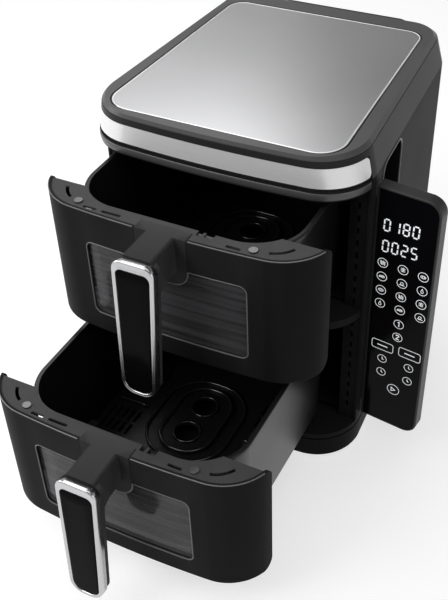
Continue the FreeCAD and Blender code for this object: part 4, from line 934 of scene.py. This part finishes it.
@dataclass
class DrawerFront:
    """The fine work of one drawer front: edge bead, bead round the window, bezel and inlay."""

    level: Level
    fascia_bottom: float = 193.5
    fascia_top: float = 330.5
    wrap: float = 36.0
    window_half: float = 80.0
    window_low: float = 22.0
    window_high: float = 104.0
    window_radius: float = 7.0
    tab_half: float = 25.3
    tab_low: float = 86.7
    tab_radius: float = 15.0
    tab_points: int = 13
    bead_radius: float = 0.7
    bead_inset: float = 0.3
    bead_step: float = 1.6
    edge_radius: float = 0.55
    edge_inset: float = 0.45
    edge_drop: float = 0.4
    edge_gap: float = 0.3
    curve: FrontCurve = field(default_factory=FrontCurve)
    grip: Grip = field(default_factory=Grip)

    def window_line(self) -> Array:
        """Return the window's edge: a rounded rectangle whose top dips round the handle's tab.

        Returns:
            Points of shape (n, 2).
        """
        radius, high, tab, bend = self.window_radius, self.window_high, self.tab_half, self.tab_radius
        side, low, shoulder = self.window_half - radius, self.window_low + radius, high - radius
        knee, foot = tab - bend, self.tab_low + bend
        return np.concatenate([
            arc((side, low), radius, -90, 0), arc((side, shoulder), radius, 0, 90),
            [(tab, high)], arc((knee, foot), bend, 0, -90, self.tab_points),
            arc((-knee, foot), bend, -90, -180, self.tab_points), [(-tab, high)],
            arc((-side, shoulder), radius, 90, 180), arc((-side, low), radius, 180, 270)])

    def window_bead(self) -> Surface:
        """Carry a round profile along the window's edge on the bow, y = R - sqrt((R - inset)^2 - x^2).

        Returns:
            A closed ring.
        """
        flat = spaced(self.window_line(), self.bead_step)
        depth = self.curve.bow - np.sqrt((self.curve.bow - self.bead_inset) ** 2 - flat[:, 0] ** 2)
        path = np.insert(flat + np.array([0.0, self.fascia_bottom]), 1, depth, axis=1)
        return bead(path, np.insert(outward(flat), 1, 0.0, axis=1), FORWARD, self.bead_radius, True)

    def top_edge(self) -> Surface:
        """Carry a fine bead along the front's top edge, with a gap for the handle's tab.

        Returns:
            Two closed strips as one surface.
        """
        flat, out = self.curve.line(self.edge_inset, self.wrap)
        gap, height = self.tab_half + self.edge_gap, self.fascia_top - self.edge_drop
        return Surface.join([
            bead(lifted(flat[keep], height), lifted(out[keep], 0.0), UP, self.edge_radius, False)
            for keep in (flat[:, 0] < -gap, flat[:, 0] > gap)])

    def build(self, book: FinishBook) -> None:
        """Make the beads, and the bezel and the inlay, which stand for the plain ones.

        Args:
            book: the finishes.
        """
        label, body = self.level.label, f"{self.level.label}_drawer"
        # the beads' lighter grey is a painted highlight on the drawer front's edges
        for name, made in (("window_bead", self.window_bead()), ("top_edge", self.top_edge())):
            book.piece(f"{label}_{name}", "painted_highlight_grey", body, made.at(self.level.place), False)
        for name, slot, made in (("bezel", "bezel_chrome", self.grip.bezel()),
                                 ("inlay", "inlay_gloss", self.grip.inlay())):
            piece = book.piece(f"{label}_{name}", slot, body, made.at(self.level.place))
            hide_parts(f"{label}_handle_{name}")


@dataclass
class TopPlateEdge:
    """The bright bead round the top plate's edge, a painted highlight, and a dark bead in the gap between
    plate and cover, a painted shadow line.
    """

    front: float = 12.5
    rear: float = 270.0
    front_half: float = 117.5
    rear_half: float = 107.5
    front_radius: float = 25.0
    rear_radius: float = 17.0
    height: float = 375.8
    radius: float = 0.9
    inset: float = 0.945
    shadow_line_height: float = 375.85
    shadow_line_radius: float = 0.8
    step: float = 4.0

    def ring(self, inset: float, height: float, radius: float) -> Surface:
        """Carry a round profile along the plate's outline, drawn in by an inset.

        Args:
            inset: how far it is drawn in.
            height: the height of its middle.
            radius: the profile's radius.

        Returns:
            A closed ring, in metres.
        """
        front = (self.front_half - inset, self.front + inset, self.front_radius - inset)
        rear = (self.rear_half - inset, self.rear - inset, self.rear_radius - inset)
        corners = [(sign * half, y, corner) for sign, (half, y, corner) in
                   ((-1, front), (1, front), (1, rear), (-1, rear))]
        return level_bead(filleted(corners, FINE_CORNER_POINTS), height, radius, self.step).at(from_front)

    def build(self, book: FinishBook) -> None:
        """Lay the bright bead, a painted highlight, on the plate's edge, and the dark bead, a painted shadow
        line, beside it.
        """
        bright, shadow_line = (self.inset, self.height, self.radius), (self.shadow_line_height, self.shadow_line_radius)
        book.piece("top_plate_edge", "plate_edge_painted_highlight", "housing", self.ring(*bright))
        # a dark bead in the gap: painted shade of the shadow gap between plate and cover
        book.piece("top_plate_painted_shadow_line", "rubber_black", "housing", self.ring(-self.shadow_line_radius, *shadow_line))


@dataclass
class FrontLip:
    """The rounded lip below the bright band, in a lighter grey than the shell: a painted highlight."""

    middle: float = 337.6
    half_height: float = 3.7
    bulge: float = 0.9
    wrap: float = 42.0
    inset: float = 0.2
    points: int = 20
    curve: FrontCurve = field(default_factory=FrontCurve)

    def build(self, book: FinishBook) -> None:
        """Carry a flat oval, (b cos t, h sin t), along the bowed front.

        Args:
            book: the finishes.
        """
        flat, out = self.curve.line(self.inset, self.wrap)
        oval = circle(1.0, self.points) * np.array([self.bulge, self.half_height])
        strip = sweep(lifted(flat, self.middle), lifted(out, 0.0), UP, oval, False)
        book.piece("front_lip", "rim_painted_highlight", "housing", strip.at(from_front))


@dataclass
class CrisperCrests:
    """The rounded crests of one crisper plate: its ridge, the rim of its cap, two collars and two bars."""

    level: Level
    middle: float = 155.0
    step: float = 2.5
    ridge: Triple = (43.5, 55.5, 38.5)
    ridge_height: float = 218.0
    ridge_radius: float = 1.45
    cap: Triple = (28.2, 45.2, 26.2)
    cap_height: float = 219.4
    cap_radius: float = 1.75
    collar: float = 13.75
    collar_height: float = 219.4
    collar_radius: float = 1.2
    collar_points: int = 48
    collar_step: float = 1.8
    holes: Pair = (-19.5, 19.5)
    bar: Pair = (56.9, 90.1)
    bar_place: float = -4.5
    bar_height: float = 218.6
    bar_radius: float = 1.85
    bar_points: int = 12

    def rings(self) -> list[Surface]:
        """Lay the ridge, the rim of the cap and the collars of the two holes.

        Returns:
            Four closed rings.
        """
        centre = (0.0, self.middle)
        made = [level_bead(oblong(centre, *size, FINE_CORNER_POINTS), height, radius, self.step)
                for size, height, radius in ((self.ridge, self.ridge_height, self.ridge_radius),
                                             (self.cap, self.cap_height, self.cap_radius))]
        for place in self.holes:
            hole = circle(self.collar, self.collar_points) + np.array([0.0, self.middle + place])
            made.append(level_bead(hole, self.collar_height, self.collar_radius, self.collar_step))
        return made

    def bars(self) -> list[Surface]:
        """Lay one round bar to each side of the ridge, along x."""
        lines = [lifted(np.linspace(*ends, self.bar_points), self.middle + self.bar_place)
                 for ends in (self.bar, (-self.bar[1], -self.bar[0]))]
        return [bead(lifted(flat, self.bar_height), FORWARD, UP, self.bar_radius, False) for flat in lines]

    def build(self, book: FinishBook) -> None:
        """Make the crests as one piece on the crisper plate."""
        body, crests = f"{self.level.label}_crisper", Surface.join(self.rings() + self.bars())
        book.piece(f"{body}_crests", "crest_black", body, crests.at(self.level.place))


@dataclass
class ScoopRims:
    """The rounded rims of the scoops in both flanks, in a lighter grey than the shell: painted highlights."""

    flank: float = 139.8
    flank_start: float = 53.53
    taper: float = 0.05722
    middle: Pair = (102.5, 274.75)
    half: float = 29.5
    rise: float = 65.75
    corner: float = 13.0
    radius: float = 1.1
    step: float = 2.5

    def build(self, book: FinishBook) -> None:
        """Carry a round profile along each scoop's outline, a rounded rectangle in y and z on the flank.

        The flank narrows to the back: x = flank - taper (y - start).

        Args:
            book: the finishes.
        """
        flat = spaced(oblong(self.middle, self.half, self.rise, self.corner), self.step)
        side = np.insert(outward(flat), 0, 0.0, axis=1)
        across = self.flank - self.taper * (flat[:, 0] - self.flank_start)
        for name, sign in (("right", 1), ("left", -1)):
            path = np.column_stack([sign * across, flat])
            ring = bead(path[::sign], side[::sign], np.array([sign, 0.0, 0.0]), self.radius, True)
            book.piece(f"{name}_scoop_rim", "rim_painted_highlight", "housing", ring.at(from_front))


LAMPS = (
    ("back_softbox", (-1.10, 1.12, 2.04), (1.3, 1.0), 14.0),
    ("front_left_softbox", (-0.75, -1.35, 1.30), (0.8, 0.7), 10.0),
    ("left_softbox", (-1.30, -0.70, 0.80), (0.7, 0.7), 8.0),
    ("right_softbox", (1.30, -0.55, 0.60), (0.6, 0.6), 2.5),
    ("top_softbox", (0.10, -0.40, 1.90), (2.0, 2.0), 18.0),
)


@dataclass
class Studio:
    """Floor, lamps, world and camera."""

    azimuth: float = 28.907
    elevation: float = 39.746
    roll: float = -2.578
    focal_px: float = 989.55
    place: Triple = (372.8, -656.9, 818.1)
    long_side_px: float = 600.0
    sensor: float = 36.0
    clip_start: float = 0.02
    sky: float = 0.13
    aim: Triple = (0.0, -0.1, 0.2)
    floor_grey: float = 0.50
    floor_roughness: float = 0.9
    floor_specular: float = 0.1
    floor_glow: float = 0.62
    floor_hub: float = 0.05
    floor_reach: float = 3.0
    floor_bend: float = 1.0
    floor_columns: int = 96
    wall: float = 1.6

    def camera(self) -> None:
        """Set the camera at the photograph's viewing angle."""
        az, el, roll = (math.radians(angle) for angle in (self.azimuth, self.elevation, self.roll))
        back = np.array([math.sin(az) * math.cos(el), -math.cos(az) * math.cos(el), math.sin(el)])
        level = np.array([math.cos(az), math.sin(az), 0.0])
        right = math.cos(roll) * level + math.sin(roll) * np.cross(back, level)
        data = bpy.data.cameras.new("camera")
        data.lens = self.focal_px / self.long_side_px * self.sensor
        data.sensor_width = self.sensor
        data.clip_start = self.clip_start
        made = add_object("camera", data)
        stand(made, right, back, from_front(np.array(self.place)))
        bpy.context.scene.camera = made

    def world(self) -> None:
        """Light the scene with a plain pale world."""
        world = bpy.data.worlds.new("studio")
        world.use_nodes = True
        tree = world.node_tree
        feed(tree, tree.nodes["Background"], {"Color": WHITE, "Strength": self.sky})
        bpy.context.scene.world = world

    def floor_paint(self) -> Material:
        """Make the floor's plain pale paint, which glows a little where it is seen or mirrored.

        Returns:
            The material.
        """
        paint = bpy.data.materials.new("pale_floor")
        paint.use_nodes = True
        tree = paint.node_tree
        rays = new_node(tree, "LightPath", {}).outputs
        seen = math_node(tree, "MAXIMUM", rays["Is Camera Ray"], rays["Is Glossy Ray"])
        seen = math_node(tree, "MAXIMUM", seen, rays["Is Transmission Ray"])
        feed(tree, tree.nodes["Principled BSDF"], {
            "Base Color": opaque(np.full(3, self.floor_grey)), "Roughness": self.floor_roughness,
            "Specular IOR Level": self.floor_specular, "Emission Color": WHITE,
            "Emission Strength": math_node(tree, "MULTIPLY", seen, self.floor_glow)})
        return paint

    def floor(self) -> None:
        """Lay a plain pale floor that turns up into a low wall all round, and keeps the object's shadow.

        point(i, j) = (r(i) cos t(j), r(i) sin t(j), z(i)); r and z follow a line, a quarter arc and a line.
        """
        bend = arc((self.floor_reach, self.floor_bend), self.floor_bend, -90, 0, FINE_CORNER_POINTS)
        edge = self.floor_reach + self.floor_bend
        profile = np.concatenate([[(self.floor_hub, 0.0)], bend, [(edge, self.wall)]])
        rings = [lifted(circle(reach, self.floor_columns), height) for reach, height in profile]
        bowl = Surface(np.concatenate(rings), cup_faces(len(profile), self.floor_columns))
        made = bowl.dressed("floor", True, self.floor_paint())

    def lamp(self, name: str, place: Triple, size: Pair, power: float) -> None:
        """Hang a soft rectangular lamp that points at the object.

        Args:
            name: the lamp's name.
            place: where it hangs, in metres.
            size: its width and height.
            power: its power in watts.
        """
        data = bpy.data.lights.new(name, "AREA")
        data.shape = "RECTANGLE"
        data.size, data.size_y = size
        data.energy = power
        back = np.array(place) - np.array(self.aim)
        back /= np.linalg.norm(back)
        right = np.cross(UP, back)
        right /= np.linalg.norm(right)
        stand(add_object(name, data), right, back, np.array(place))

    def build(self) -> None:
        """Put up the whole studio."""
        bpy.context.scene.view_settings.view_transform = "Standard"
        self.camera()
        self.world()
        self.floor()
        for lamp in LAMPS:
            self.lamp(*lamp)


def main() -> None:
    """Load the frame, dress it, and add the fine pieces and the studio."""
    logging.basicConfig(level=logging.INFO, format="%(message)s")
    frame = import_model()
    book = FinishBook()
    book.dress_nodes(frame)
    TouchPanel().build(book)
    TopPlateEdge().build(book)
    FrontLip().build(book)
    ScoopRims().build(book)
    for level in Level:
        DrawerFront(level).build(book)
        CrisperCrests(level).build(book)
    Studio().build()


if __name__ == "__main__":
    main()
